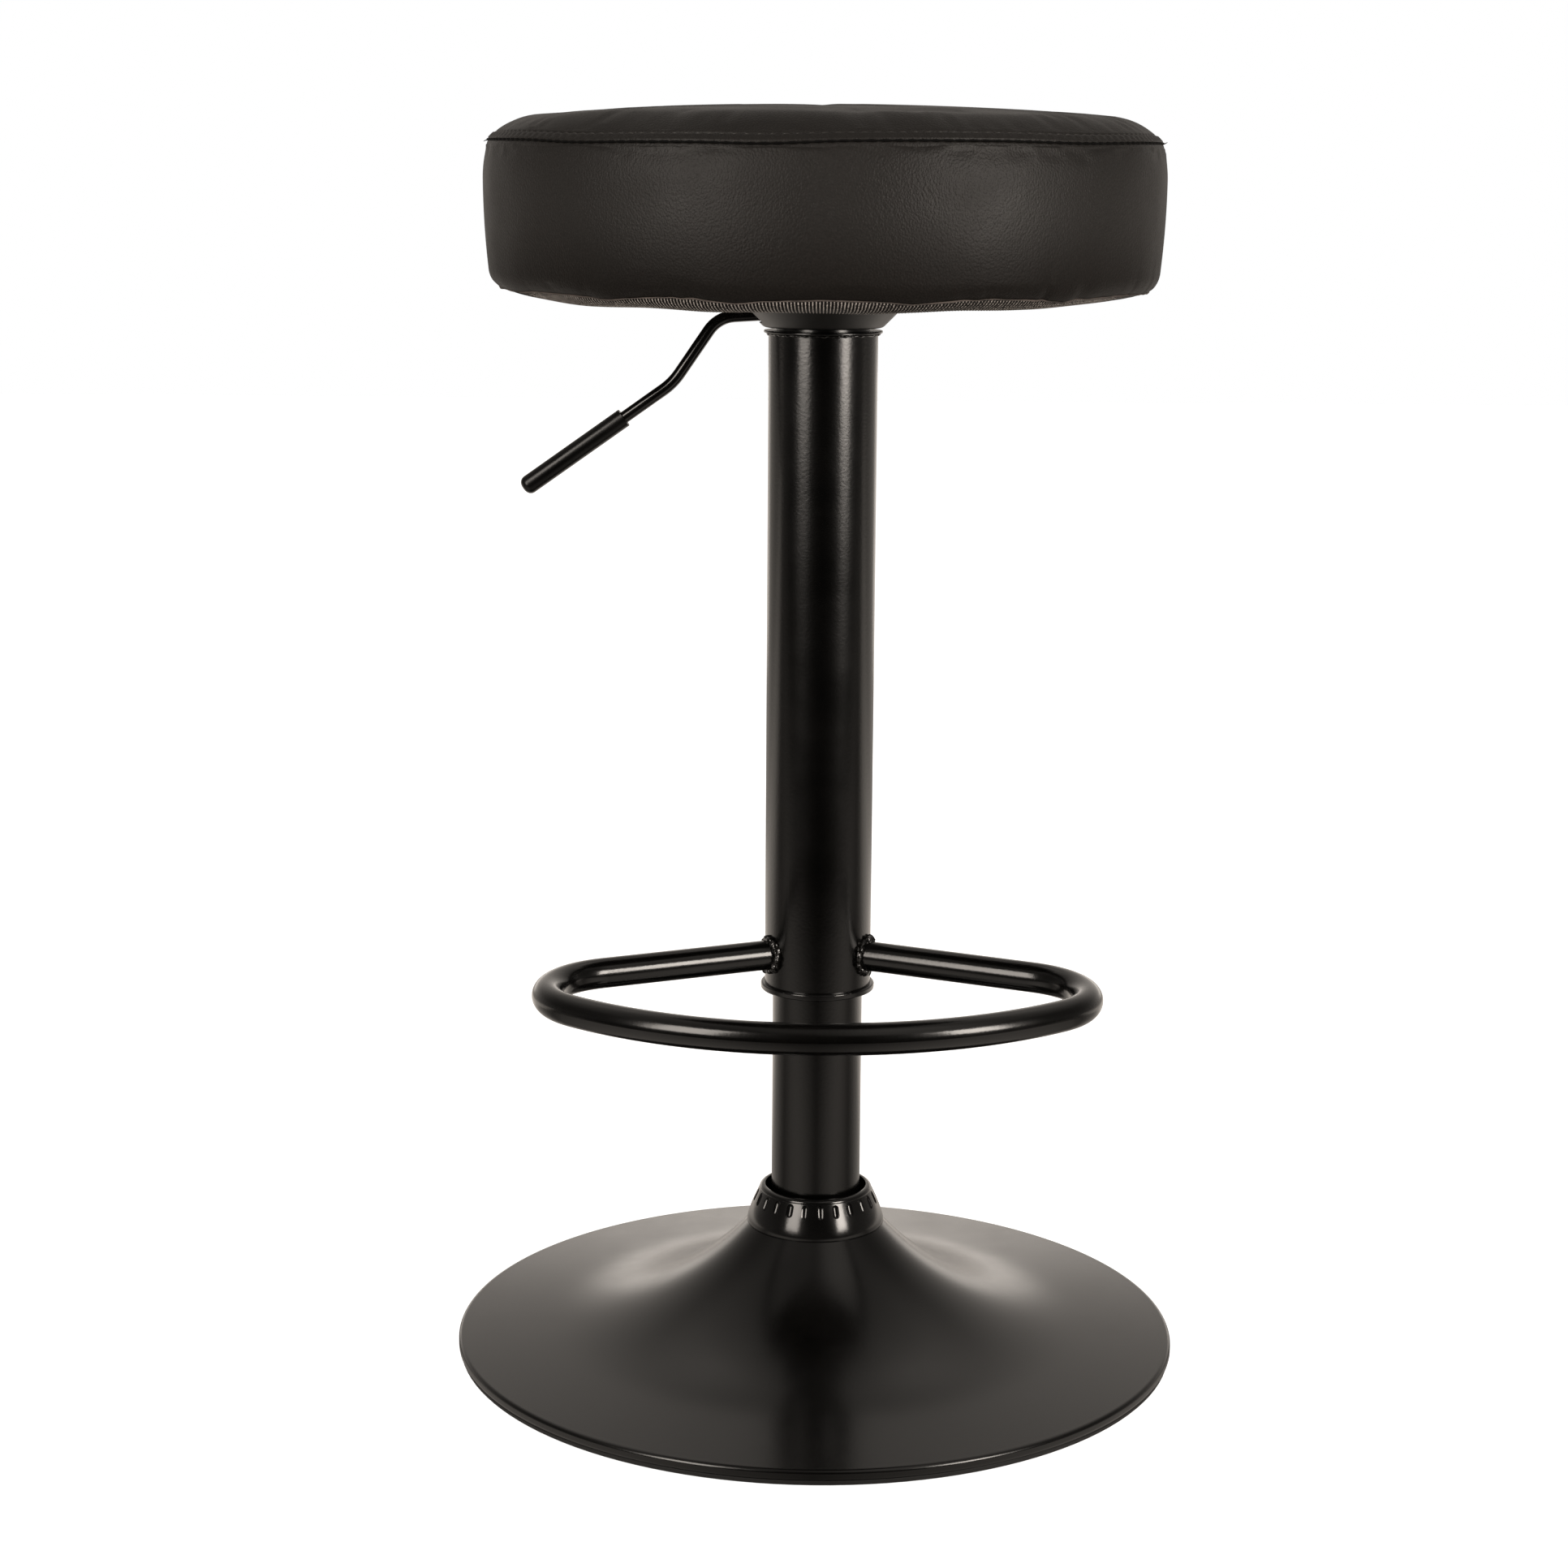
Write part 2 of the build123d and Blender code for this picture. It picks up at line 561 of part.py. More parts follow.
# Lever bracket's two ears on the dish's floor, and the pin through them
pivot_height = lever_height(PIVOT_X)
with BuildPart() as lever_bracket:
    with BuildSketch(Plane.XZ.offset(EAR_GAP)):
        with Locations((PIVOT_X, (socket_top + EAR_TOP) / 2)):
            Rectangle(EAR_LENGTH, EAR_TOP - socket_top)
        with Locations((PIVOT_X, pivot_height)):
            Circle(PIN_RADIUS, mode=Mode.SUBTRACT)
    extrude(amount=EAR_SHEET)
    mirror(about=Plane.XZ)
pieces["lever_bracket"] = lever_bracket
with BuildPart() as lever_pin:
    with BuildSketch(Plane.XZ.offset(-EAR_GAP - EAR_SHEET)):
        with Locations((PIVOT_X, pivot_height)):
            Circle(PIN_RADIUS)
    extrude(amount=2 * (EAR_GAP + EAR_SHEET))
pieces["lever_pin"] = lever_pin

# Lever rod: bent rod, flattened pad over the button, and a hole for the pin
with BuildPart() as lever_rod:
    with BuildLine(Plane.XZ) as lever_path:
        FilletPolyline(LEVER_INNER, LEVER_ELBOW, LEVER_KNEE, LEVER_OUTER, radius=[ELBOW_RADIUS, KNEE_RADIUS])
    lever_wire = lever_path.wire()
    with BuildSketch(Plane(origin=lever_wire @ 0, z_dir=lever_wire % 0)):
        Circle(LEVER_RADIUS)
    sweep(path=lever_wire)
    with BuildSketch(Plane.XY.offset(PAD_BOTTOM)):
        with Locations((PAD_INNER_END - PAD_LENGTH / 2, 0)):
            SlotOverall(PAD_LENGTH, PAD_WIDTH)
    extrude(amount=PAD_THICKNESS)
    with BuildSketch(Plane.XZ.offset(-PAD_WIDTH)):
        with Locations((PIVOT_X, pivot_height)):
            Circle(PIN_RADIUS + RUNNING_FIT)
    extrude(amount=2 * PAD_WIDTH, mode=Mode.SUBTRACT)
pieces["lever_rod"] = lever_rod

# Lever grip: a dipped sleeve with a rounded end, over the last straight run of the rod
knee = Vector(LEVER_KNEE[0], 0, LEVER_KNEE[1])
rod_end = Vector(LEVER_OUTER[0], 0, LEVER_OUTER[1])
grip_along = (rod_end - knee).normalized()
grip_plane = Plane(origin=rod_end - grip_along * GRIP_COVERED, x_dir=(0, 1, 0), z_dir=grip_along)
with BuildPart() as lever_grip:
    with BuildSketch(grip_plane):
        Circle(GRIP_RADIUS)
    extrude(amount=GRIP_LENGTH)
    fillet(lever_grip.faces().sort_by(Axis(grip_plane.origin, grip_along))[-1].edges(), GRIP_END_ROUND)
    with BuildSketch(grip_plane):
        Circle(LEVER_RADIUS)
    extrude(amount=GRIP_COVERED, mode=Mode.SUBTRACT)
pieces["lever_grip"] = lever_grip

# Plywood board, counterbored for the tee nuts, and the bolts that come up through the flange
board_top = flange_top + BOARD_THICKNESS
with BuildPart() as seat_board:
    with BuildSketch(Plane.XY.offset(flange_top)):
        Circle(BOARD_RADIUS)
    extrude(amount=BOARD_THICKNESS)
    with Locations(Plane.XY.offset(board_top)):
        with PolarLocations(BOLT_CIRCLE, BOLT_COUNT, start_angle=BOLT_TURN):
            CounterBoreHole(NUT_BARREL, NUT_FLANGE_RADIUS, NUT_FLANGE)
pieces["seat_board"] = seat_board
with BuildPart() as tee_nuts:
    with BuildSketch(Plane.XY.offset(board_top)):
        with PolarLocations(BOLT_CIRCLE, BOLT_COUNT, start_angle=BOLT_TURN):
            Circle(NUT_FLANGE_RADIUS)
    extrude(amount=-NUT_FLANGE)
    with BuildSketch(Plane.XY.offset(board_top)):
        with PolarLocations(BOLT_CIRCLE, BOLT_COUNT, start_angle=BOLT_TURN):
            Circle(NUT_BARREL)
    extrude(amount=-NUT_BARREL_LENGTH)
    with BuildSketch(Plane.XY.offset(board_top)):
        with PolarLocations(BOLT_CIRCLE, BOLT_COUNT, start_angle=BOLT_TURN):
            Circle(BOLT_RADIUS)
    extrude(amount=-BOARD_THICKNESS, mode=Mode.SUBTRACT)
pieces["tee_nuts"] = tee_nuts
washer_bottom = FLANGE_BOTTOM - WASHER_THICKNESS
with BuildPart() as seat_bolts:
    with BuildSketch(Plane.XY.offset(washer_bottom)):
        with PolarLocations(BOLT_CIRCLE, BOLT_COUNT, start_angle=BOLT_TURN):
            RegularPolygon(BOLT_FLATS, 6, major_radius=False)
    extrude(amount=-BOLT_HEAD)
    with BuildSketch(Plane.XY.offset(washer_bottom)):
        with PolarLocations(BOLT_CIRCLE, BOLT_COUNT, start_angle=BOLT_TURN):
            Circle(BOLT_RADIUS)
    extrude(amount=board_top - NUT_FLANGE - washer_bottom)
pieces["seat_bolts"] = seat_bolts
with BuildPart() as bolt_washers:
    with BuildSketch(Plane.XY.offset(washer_bottom)):
        with PolarLocations(BOLT_CIRCLE, BOLT_COUNT, start_angle=BOLT_TURN):
            Circle(WASHER_RADIUS)
        with PolarLocations(BOLT_CIRCLE, BOLT_COUNT, start_angle=BOLT_TURN):
            Circle(BOLT_RADIUS, mode=Mode.SUBTRACT)
    extrude(amount=WASHER_THICKNESS)
pieces["bolt_washers"] = bolt_washers

# Half section of the cushion, in arcs that share their tangents: a shallow crown, a shoulder down
# to the seam, a side drawn in above and below its widest place, and a rounded bottom edge.
shoulder_centre = polar((SEAM_RADIUS, SEAM_HEIGHT), -SHOULDER_RADIUS, SEAM_TURN)
shoulder_drop = SEAT_TOP - shoulder_centre[1]
crown_radius = (shoulder_centre[0] ** 2 + shoulder_drop**2 - SHOULDER_RADIUS**2) / (
    2 * (shoulder_drop - SHOULDER_RADIUS)
)
crown_centre = (0, SEAT_TOP - crown_radius)
crown_end = math.degrees(math.atan2(shoulder_centre[1] - crown_centre[1], shoulder_centre[0]))
upper_side_centre = (SIDE_RADIUS - UPPER_SIDE_ARC, SIDE_WIDEST)
side_start = math.degrees(math.acos((SEAM_RADIUS - upper_side_centre[0]) / UPPER_SIDE_ARC))
lower_side_centre = (SIDE_RADIUS - LOWER_SIDE_ARC, SIDE_WIDEST)
edge_height = HEM_BOTTOM + BOTTOM_EDGE_ARC
edge_reach = math.sqrt((LOWER_SIDE_ARC - BOTTOM_EDGE_ARC) ** 2 - (SIDE_WIDEST - edge_height) ** 2)
edge_centre = (lower_side_centre[0] + edge_reach, edge_height)
side_end = math.degrees(math.atan2(edge_height - SIDE_WIDEST, edge_reach))


def top_arcs(inset):
    """Crown and shoulder from the axis to the seam, at a depth under the skin; gives their ends."""
    CenterArc(crown_centre, crown_radius - inset, crown_end, 90 - crown_end)
    CenterArc(shoulder_centre, SHOULDER_RADIUS - inset, SEAM_TURN, crown_end - SEAM_TURN)
    return (0, SEAT_TOP - inset), polar(shoulder_centre, SHOULDER_RADIUS - inset, SEAM_TURN)


def side_arcs(inset, drop):
    """Side and bottom edge from below the seam to the hem, at a depth under the skin; gives their ends."""
    start = side_start - math.degrees(drop / UPPER_SIDE_ARC)
    CenterArc(upper_side_centre, UPPER_SIDE_ARC - inset, 0, start)
    CenterArc(lower_side_centre, LOWER_SIDE_ARC - inset, side_end, -side_end)
    CenterArc(edge_centre, BOTTOM_EDGE_ARC - inset, -90, side_end + 90)
    top = polar(upper_side_centre, UPPER_SIDE_ARC - inset, start)
    return top, (edge_centre[0], HEM_BOTTOM + inset)


with BuildPart() as seat_foam:
    with BuildSketch(Plane.XZ):
        with BuildLine():
            foam_apex, foam_seam = top_arcs(FOAM_INSET)
            side_top, foam_foot = side_arcs(FOAM_INSET, SEAM_GAP)
            Line(foam_seam, side_top)
            Polyline(
                foam_foot,
                (BOARD_RADIUS, foam_foot[1]),
                (BOARD_RADIUS, board_top),
                (0, board_top),
                foam_apex,
            )
        make_face()
    revolve(axis=Axis.Z)
pieces["seat_foam"] = seat_foam

with BuildPart() as cover_top:
    with BuildSketch(Plane.XZ):
        with BuildLine():
            outer_apex, outer_seam = top_arcs(0)
            inner_apex, inner_seam = top_arcs(COVER)
            Line(outer_apex, inner_apex)
            Line(outer_seam, inner_seam)
        make_face()
    revolve(axis=Axis.Z)
pieces["cover_top"] = cover_top

with BuildPart() as cover_side:
    with BuildSketch(Plane.XZ):
        with BuildLine():
            outer_top, outer_foot = side_arcs(0, SEAM_GAP)
            inner_top, inner_foot = side_arcs(COVER, SEAM_GAP)
            Line(outer_top, inner_top)
            Polyline(outer_foot, (HEM_INNER, HEM_BOTTOM), (HEM_INNER, HEM_BOTTOM + COVER), inner_foot)
        make_face()
    revolve(axis=Axis.Z)
pieces["cover_side"] = cover_side

# Dust cover under the board, stapled through the hem, with the loose roll of its turned-in edge
with BuildPart() as dust_cover:
    with BuildSketch(Plane.XZ):
        with BuildLine():
            Polyline(
                (DUST_ROLL_INNER, HEM_BOTTOM - DUST_COVER),
                (DUST_COVER_INNER, HEM_BOTTOM - DUST_COVER),
                (DUST_COVER_INNER, HEM_BOTTOM),
                (edge_centre[0], HEM_BOTTOM),
            )
            CenterArc(edge_centre, BOTTOM_EDGE_ARC, -90, 90 + DUST_ROLL_TURN)
            roll_top = polar(edge_centre, BOTTOM_EDGE_ARC, DUST_ROLL_TURN)
            ThreePointArc((DUST_ROLL_INNER, HEM_BOTTOM - DUST_COVER), DUST_ROLL_LOWEST, roll_top)
        make_face()
    revolve(axis=Axis.Z)
pieces["dust_cover"] = dust_cover

# Every piece is written to its own file
os.makedirs("parts", exist_ok=True)
for name, piece in pieces.items():
    piece.part.label = name
    export_step(piece.part, f"parts/{name}.step")
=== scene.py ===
import math

import bpy
import numpy as np
from mathutils import Matrix, Vector


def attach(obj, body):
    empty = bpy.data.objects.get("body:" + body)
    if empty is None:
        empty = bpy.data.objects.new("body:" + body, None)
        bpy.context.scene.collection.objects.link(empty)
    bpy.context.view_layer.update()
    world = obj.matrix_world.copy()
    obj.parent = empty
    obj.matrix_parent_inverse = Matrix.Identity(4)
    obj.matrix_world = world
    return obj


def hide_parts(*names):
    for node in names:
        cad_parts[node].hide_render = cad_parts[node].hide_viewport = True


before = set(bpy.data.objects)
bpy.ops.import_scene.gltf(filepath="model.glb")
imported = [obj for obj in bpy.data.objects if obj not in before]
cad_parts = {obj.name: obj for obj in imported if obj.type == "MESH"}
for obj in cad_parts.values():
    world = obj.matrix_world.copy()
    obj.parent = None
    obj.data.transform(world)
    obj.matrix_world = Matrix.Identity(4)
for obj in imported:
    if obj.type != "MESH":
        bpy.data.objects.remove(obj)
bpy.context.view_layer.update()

# Camera
# It stands in front of the stool, a little below the seat's top, and looks slightly down.
# A long lens on a 36 mm sensor gives the photograph's flat perspective.
camera_place = Vector((0.0, -1.6438, 0.6609))
camera_lens = 69.57
camera_pitch = math.radians(11.587)
camera_yaw = math.radians(-0.679)
camera_roll = math.radians(0.391)

forward = Vector((
    math.sin(camera_yaw) * math.cos(camera_pitch),
    math.cos(camera_yaw) * math.cos(camera_pitch),
    -math.sin(camera_pitch),
))
level = Vector((math.cos(camera_yaw), -math.sin(camera_yaw), 0.0))
upright = level.cross(forward)
right = level * math.cos(camera_roll) + upright * math.sin(camera_roll)
above = upright * math.cos(camera_roll) - level * math.sin(camera_roll)
camera_data = bpy.data.cameras.new("camera")
camera_data.sensor_width = 36.0
camera_data.lens = camera_lens
camera_data.clip_end = 60.0
camera = bpy.data.objects.new("camera", camera_data)
camera_turn = Matrix((right, above, -forward)).transposed().to_4x4()
camera.matrix_world = Matrix.Translation(camera_place) @ camera_turn
bpy.context.scene.collection.objects.link(camera)
bpy.context.scene.camera = camera
bpy.context.scene.view_settings.view_transform = "Standard"


# Studio
# A white floor and surround, open and dark on the camera's side, with a tall softbox in front on the left,
# another on the right and a low strip behind. The floor keeps the stool's shadow.
def new_tree(owner):
    """Empties the node tree of a material or world and gives it back."""
    owner.use_nodes = True
    owner.node_tree.nodes.clear()
    return owner.node_tree


def add(tree, kind, inputs=(), **settings):
    """Adds a shader node; inputs maps its sockets to constants or to other nodes' sockets."""
    node = tree.nodes.new("ShaderNode" + kind)
    for key, value in settings.items():
        setattr(node, key, value)
    for key, value in dict(inputs).items():
        if isinstance(value, bpy.types.NodeSocket):
            tree.links.new(value, node.inputs[key])
        else:
            node.inputs[key].default_value = value
    return node


def combine(tree, operation, *values):
    """Result of a Math node on one or two values."""
    return add(tree, "Math", dict(enumerate(values)), operation=operation).outputs[0]


def fade(tree, value, start, end, low, high, kind="SMOOTHSTEP"):
    """A value's way from start to end mapped on to the way from low to high, and held beyond both ends."""
    sockets = {"Value": value, "From Min": start, "From Max": end, "To Min": low, "To Max": high}
    return add(tree, "MapRange", sockets, interpolation_type=kind).outputs[0]


def ramp(tree, value, *stops):
    """Colour ramp of a value through stops, each a position with a colour or a single grey."""
    node = add(tree, "ValToRGB", {"Fac": value})
    elements = node.color_ramp.elements
    elements[0].position = stops[0][0]
    elements[1].position = stops[-1][0]
    for position, shade in stops[1:-1]:
        elements.new(position)
    for element, (position, shade) in zip(elements, stops):
        element.color = (*np.broadcast_to(shade, 3).tolist(), 1.0)
    return node.outputs["Color"]


floor_reach = 7.0
floor_drop = 0.0004
floor_grey = 0.6
near_white = 0.86
mirror_tint = (1.0, 0.9, 0.8)
floor_mesh = bpy.data.meshes.new("floor")
floor_mesh.from_pydata(
    [(x * floor_reach, y * floor_reach, -floor_drop) for x, y in ((-1, -1), (1, -1), (1, 1), (-1, 1))],
    [],
    [(0, 1, 2, 3)],
)
floor = bpy.data.objects.new("floor", floor_mesh)
bpy.context.scene.collection.objects.link(floor)

floor_paint = bpy.data.materials.new("floor_paint")
floor_paint.cycles.emission_sampling = "NONE"
tree = new_tree(floor_paint)
path = add(tree, "LightPath").outputs
place = add(tree, "TexCoord").outputs["Object"]
across = add(tree, "SeparateXYZ", {0: place}).outputs
# In reflections the floor is dim toward the camera and along both axes, and white just behind the stool.
# These are painted pools of light and shade, seen only in reflections; no lamp casts them.
toward_camera = fade(tree, across["Y"], -1.05, -0.2, 0.02, 0.5)
diagonal = combine(tree, "ABSOLUTE", combine(tree, "MULTIPLY", across["X"], across["Y"]))
square = add(tree, "VectorMath", {0: place, 1: place}, operation="DOT_PRODUCT").outputs["Value"]
diagonal = combine(tree, "DIVIDE", diagonal, square)
pools = fade(tree, diagonal, 0.0, 0.5, 0.25, 1.0, "LINEAR")
pools = combine(tree, "MULTIPLY", pools, toward_camera)
rear = fade(tree, across["Y"], 0.0, 2.0, 0.0, 1.0, "LINEAR")
rear = ramp(tree, rear, (0.05, 0.0), (0.25, 0.95), (0.45, 0.95), (0.75, 0.0))
pools = combine(tree, "MAXIMUM", pools, rear)
shown_share = add(tree, "Mix", {0: path["Is Glossy Ray"], 2: 1.0, 3: pools}).outputs[0]
matt = add(tree, "BsdfDiffuse", {"Color": ramp(tree, shown_share, (0.0, 0.0), (1.0, floor_grey))})
# The floor glows white to the camera and in reflections, a little less near the stool.
seen = combine(tree, "MAXIMUM", path["Is Camera Ray"], path["Is Glossy Ray"])
seen = combine(tree, "MAXIMUM", seen, path["Is Transmission Ray"])
from_stool = add(tree, "VectorMath", {0: place}, operation="LENGTH").outputs["Value"]
far_white = ramp(tree, from_stool, (0.25, near_white), (1.0, 1.0))
mirrored = ramp(tree, path["Is Glossy Ray"], (0.0, 1.0), (1.0, mirror_tint))
tint = add(tree, "VectorMath", {0: far_white, 1: mirrored}, operation="MULTIPLY")
glow_level = combine(tree, "MULTIPLY", seen, shown_share)
glow = add(tree, "Emission", {"Color": tint.outputs[0], "Strength": glow_level})
lit = add(tree, "AddShader", {0: matt.outputs[0], 1: glow.outputs[0]})
add(tree, "OutputMaterial", {"Surface": lit.outputs[0]})
floor_mesh.materials.append(floor_paint)

lamp_colour = (1.0, 0.92, 0.84)
ceiling_level = 1.8
overhead_spot = (0.25, -0.42, 0.87)
surround = bpy.data.worlds.new("surround")
bpy.context.scene.world = surround
tree = new_tree(surround)
path = add(tree, "LightPath").outputs
direction = add(tree, "TexCoord").outputs["Generated"]
toward = add(tree, "SeparateXYZ", {0: direction}).outputs
# The room grows lighter from the camera's side to the back, is darker half way up than overhead, and dims
# to the left and right.
behind = fade(tree, toward["Y"], -1.0, 1.0, 0.0, 1.0, "LINEAR")
wall_front = ((0.0, 0.02), (0.25, 0.06), (0.39, 0.19), (0.6, 0.26))
wall_back = ((0.72, 0.36), (0.84, 0.62), (0.95, 1.0))
wall = ramp(tree, behind, *wall_front, *wall_back)
ceiling_low = ((0.1, 0.6), (0.2, 0.56), (0.33, 0.39))
ceiling_high = ((0.5, 0.41), (0.62, 0.42), (0.78, 0.95), (1.0, 1.0))
ceiling = ramp(tree, toward["Z"], *ceiling_low, *ceiling_high)
ceiling = combine(tree, "MULTIPLY", ceiling, ceiling_level)
aside = combine(tree, "ABSOLUTE", toward["X"])
sides = fade(tree, aside, 0.0, 0.9, 0.95, 0.7, "LINEAR")
room = combine(tree, "MULTIPLY", combine(tree, "MULTIPLY", wall, ceiling), sides)
# A soft spot hangs overhead in front, on the right, and a dark gap runs over the stool from front to back.
overhead = add(tree, "VectorMath", {0: direction, 1: overhead_spot}, operation="DOT_PRODUCT").outputs["Value"]
room = combine(tree, "ADD", room, fade(tree, overhead, 0.86, 0.98, 0.0, 0.45))
gap = fade(tree, aside, 0.0, 0.24, 0.3, 1.0)
aloft = fade(tree, toward["Z"], 0.45, 0.7, 0.0, 1.0, "LINEAR")
gap = add(tree, "Mix", {0: aloft, 2: 1.0, 3: gap}).outputs[0]
room = combine(tree, "MULTIPLY", room, gap)
# The camera sees plain white instead.
clear = combine(tree, "MAXIMUM", path["Is Camera Ray"], path["Is Transmission Ray"])
level_out = add(tree, "Mix", {0: clear, 2: room, 3: 1.0}).outputs[0]
sky_colour = ramp(tree, clear, (0.0, lamp_colour), (1.0, 1.0))
sky = add(tree, "Background", {"Color": sky_colour, "Strength": level_out})
add(tree, "OutputWorld", {"Surface": sky.outputs[0]})

softboxes = {
    "softbox_left": ((-0.887, -1.057, 0.885), (0.55, 0.90), 14.5),
    "softbox_right": ((1.026, -0.923, 0.735), (0.42, 0.60), 15.0),
    "back_strip": ((0.0, 1.9, 0.24), (2.6, 0.36), 2.6),
}
lamp_aim = Vector((0, 0, 0.5))
for name, (place, size, watts) in softboxes.items():
    lamp = bpy.data.lights.new(name, "AREA")
    lamp.shape = "RECTANGLE"
    lamp.size, lamp.size_y = size
    lamp.energy = watts
    lamp.color = lamp_colour
    softbox = bpy.data.objects.new(name, lamp)
    softbox.location = place
    softbox.visible_camera = False
    softbox.rotation_euler = (lamp_aim - Vector(place)).to_track_quat("-Z", "Y").to_euler()
    bpy.context.scene.collection.objects.link(softbox)


# Base shell
# A trumpet pressed from steel sheet with its lip turned down, powder coated satin black.
# The solid's line is turned again here as one smooth skin, which takes its place.
def finish(name, tones, roughness, grain, relief, mottle=30.0, metallic=0.0, specular=0.5, stretch=(1, 1, 1)):
    """Rigid finish. A slow noise runs the colour between two tones and the roughness between two values;
    a fine noise, one grain across, lifts the surface by relief. All lengths are in metres."""
    material = bpy.data.materials.new(name)
    tree = new_tree(material)
    place = add(tree, "TexCoord").outputs["Object"]
    place = add(tree, "Mapping", {"Vector": place, "Scale": stretch}).outputs[0]
    slow = {"Vector": place, "Scale": mottle, "Detail": 4.0, "Roughness": 0.6}
    slow = add(tree, "TexNoise", slow).outputs["Fac"]
    fine = add(tree, "TexNoise", {"Vector": place, "Scale": 1.0 / grain, "Detail": 2.0}).outputs["Fac"]
    bump = add(tree, "Bump", {"Height": fine, "Strength": 1.0, "Distance": relief})
    shader = add(
        tree,
        "BsdfPrincipled",
        {
            "Base Color": ramp(tree, slow, (0.3, tones[0]), (0.7, tones[1])),
            "Roughness": fade(tree, slow, 0.3, 0.7, *roughness, kind="LINEAR"),
            "Metallic": metallic,
            "Specular IOR Level": specular,
            "Normal": bump.outputs[0],
        },
    )
    add(tree, "OutputMaterial", {"Surface": shader.outputs[0]})
    return material


def dress(material, *names):
    """Gives CAD nodes their finish."""
    for name in names:
        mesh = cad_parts[name].data
        mesh.materials.clear()
        mesh.materials.append(material)


def grid_faces(rows, columns, closed=True):
    """Quads between the rows of a grid whose columns close round or stay open, each turned outwards when
    the rows run from the top over the outside to the bottom."""
    across = columns if closed else columns - 1
    row, column = np.meshgrid(np.arange(rows - 1), np.arange(across), indexing="ij")
    here = row * columns + column
    beside = row * columns + (column + 1) % columns
    return np.stack([here, here + columns, beside + columns, beside], axis=-1).reshape(-1, 4)


def ring_faces(rows, columns):
    """Quads of a grid that closes both ways, as on a ring."""
    return grid_faces(rows + 1, columns) % (rows * columns)


millimetre = 0.001


def turned_grid(radius, height, turn):
    """Points at each radius and height, in millimetres, turned by each angle from the front, which is -Y."""
    points = np.stack([radius * np.sin(turn), -radius * np.cos(turn), height + 0 * turn], axis=-1)
    return points * millimetre


def make_piece(name, points, faces, material, body):
    """Puts points and faces into a smooth mesh object at the origin, riding on a body."""
    mesh = bpy.data.meshes.new(name)
    listed_faces = faces.tolist() if isinstance(faces, np.ndarray) else faces
    mesh.from_pydata(np.reshape(points, (-1, 3)).tolist(), [], listed_faces)
    mesh.polygons.foreach_set("use_smooth", np.ones(len(mesh.polygons), dtype=bool))
    mesh.materials.append(material)
    mesh.update()
    piece = bpy.data.objects.new(name, mesh)
    bpy.context.scene.collection.objects.link(piece)
    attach(piece, body)
    return piece


def arc(centre, radius, start, end, count):
    """Points of a circular arc: the centre plus radius times cosine and sine of evenly spaced angles."""
    turn = np.radians(np.linspace(start, end, count))
    return np.stack([centre[0] + radius * np.cos(turn), centre[1] + radius * np.sin(turn)], axis=1)


rim_slope, neck_slope = 5.0, 48.0
rim_radius, rim_height = 203.0, 8.5
rim_run, flare_start, flare_end, neck_run = 3.0, 54.0, 176.5, 194.3
flare_soft = 8.0
lip_round = 2.4
shell_sheet = 1.6
shell_columns = 360
base_coat = finish(
    "base_coat",
    tones=((0.0004, 0.0004, 0.0003), (0.0009, 0.0008, 0.0007)),
    roughness=(0.19, 0.24),
    grain=0.0018,
    relief=0.000014,
)


def trumpet(rows):
    """Outer line of the shell from the rim inwards. Its slope grows evenly from the rim's to the neck's along
    the flare, with soft ends, and the line is the running sum of steps in that direction."""
    run = np.linspace(rim_run, neck_run, rows)
    bend = np.hypot(run - flare_start, flare_soft) - np.hypot(run - flare_end, flare_soft)
    share = 0.5 + 0.5 * bend / (flare_end - flare_start)
    slope = np.radians(rim_slope + (neck_slope - rim_slope) * share)
    start = rim_radius - rim_run * math.cos(math.radians(rim_slope))
    step = run[1] - run[0]
    middle = 0.5 * (slope[1:] + slope[:-1])
    radius = start - step * np.concatenate([[0], np.cumsum(np.cos(middle))])
    height = step * np.concatenate([[0], np.cumsum(np.sin(middle))])
    return np.stack([radius, rim_height + rim_run * math.tan(math.radians(rim_slope)) + height], axis=1)


outer = trumpet(100)[::-1]
lip = arc((rim_radius - lip_round, outer[-1, 1] - lip_round - 0.05), lip_round, 86.0, 0.0, 12)
foot_steps = np.array([(0.0, 5.0), (0.0, 3.9), (0.5, 3.4), (1.1, 3.4), (shell_sheet, 3.9)])
foot = np.stack([rim_radius - foot_steps[:, 0], foot_steps[:, 1]], axis=1)
inner = trumpet(40) - np.array([0.5, shell_sheet])
shell_profile = np.concatenate([outer, lip, foot, inner])
shell_turn = np.linspace(-np.pi, np.pi, shell_columns, endpoint=False)
shell_points = turned_grid(shell_profile[:, :1], shell_profile[:, 1:], shell_turn)
shell_faces = ring_faces(len(shell_profile), shell_columns)
base_shell = make_piece("base_shell_pressed", shell_points, shell_faces, base_coat, "base")
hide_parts("base_shell")

# Ballast plate, hub sleeve and column foot
# Plain mild steel, cut and turned, closed in under the shell and pressed into the column.
plain_steel = finish(
    "plain_steel",
    tones=((0.26, 0.25, 0.24), (0.40, 0.39, 0.37)),
    roughness=(0.30, 0.48),
    grain=0.0009,
    relief=0.00002,
    metallic=1.0,
)
dress(plain_steel, "base_plate", "hub_sleeve", "column_foot")

# Floor ring
# A ring of black rubber clipped under the lip, so that the steel doesn't mark the floor.
black_rubber = finish(
    "black_rubber",
    tones=((0.003, 0.003, 0.003), (0.005, 0.0048, 0.0046)),
    roughness=(0.55, 0.7),
    grain=0.0007,
    relief=0.00004,
)
dress(black_rubber, "floor_ring", "rod_bumper", "piston_seal")

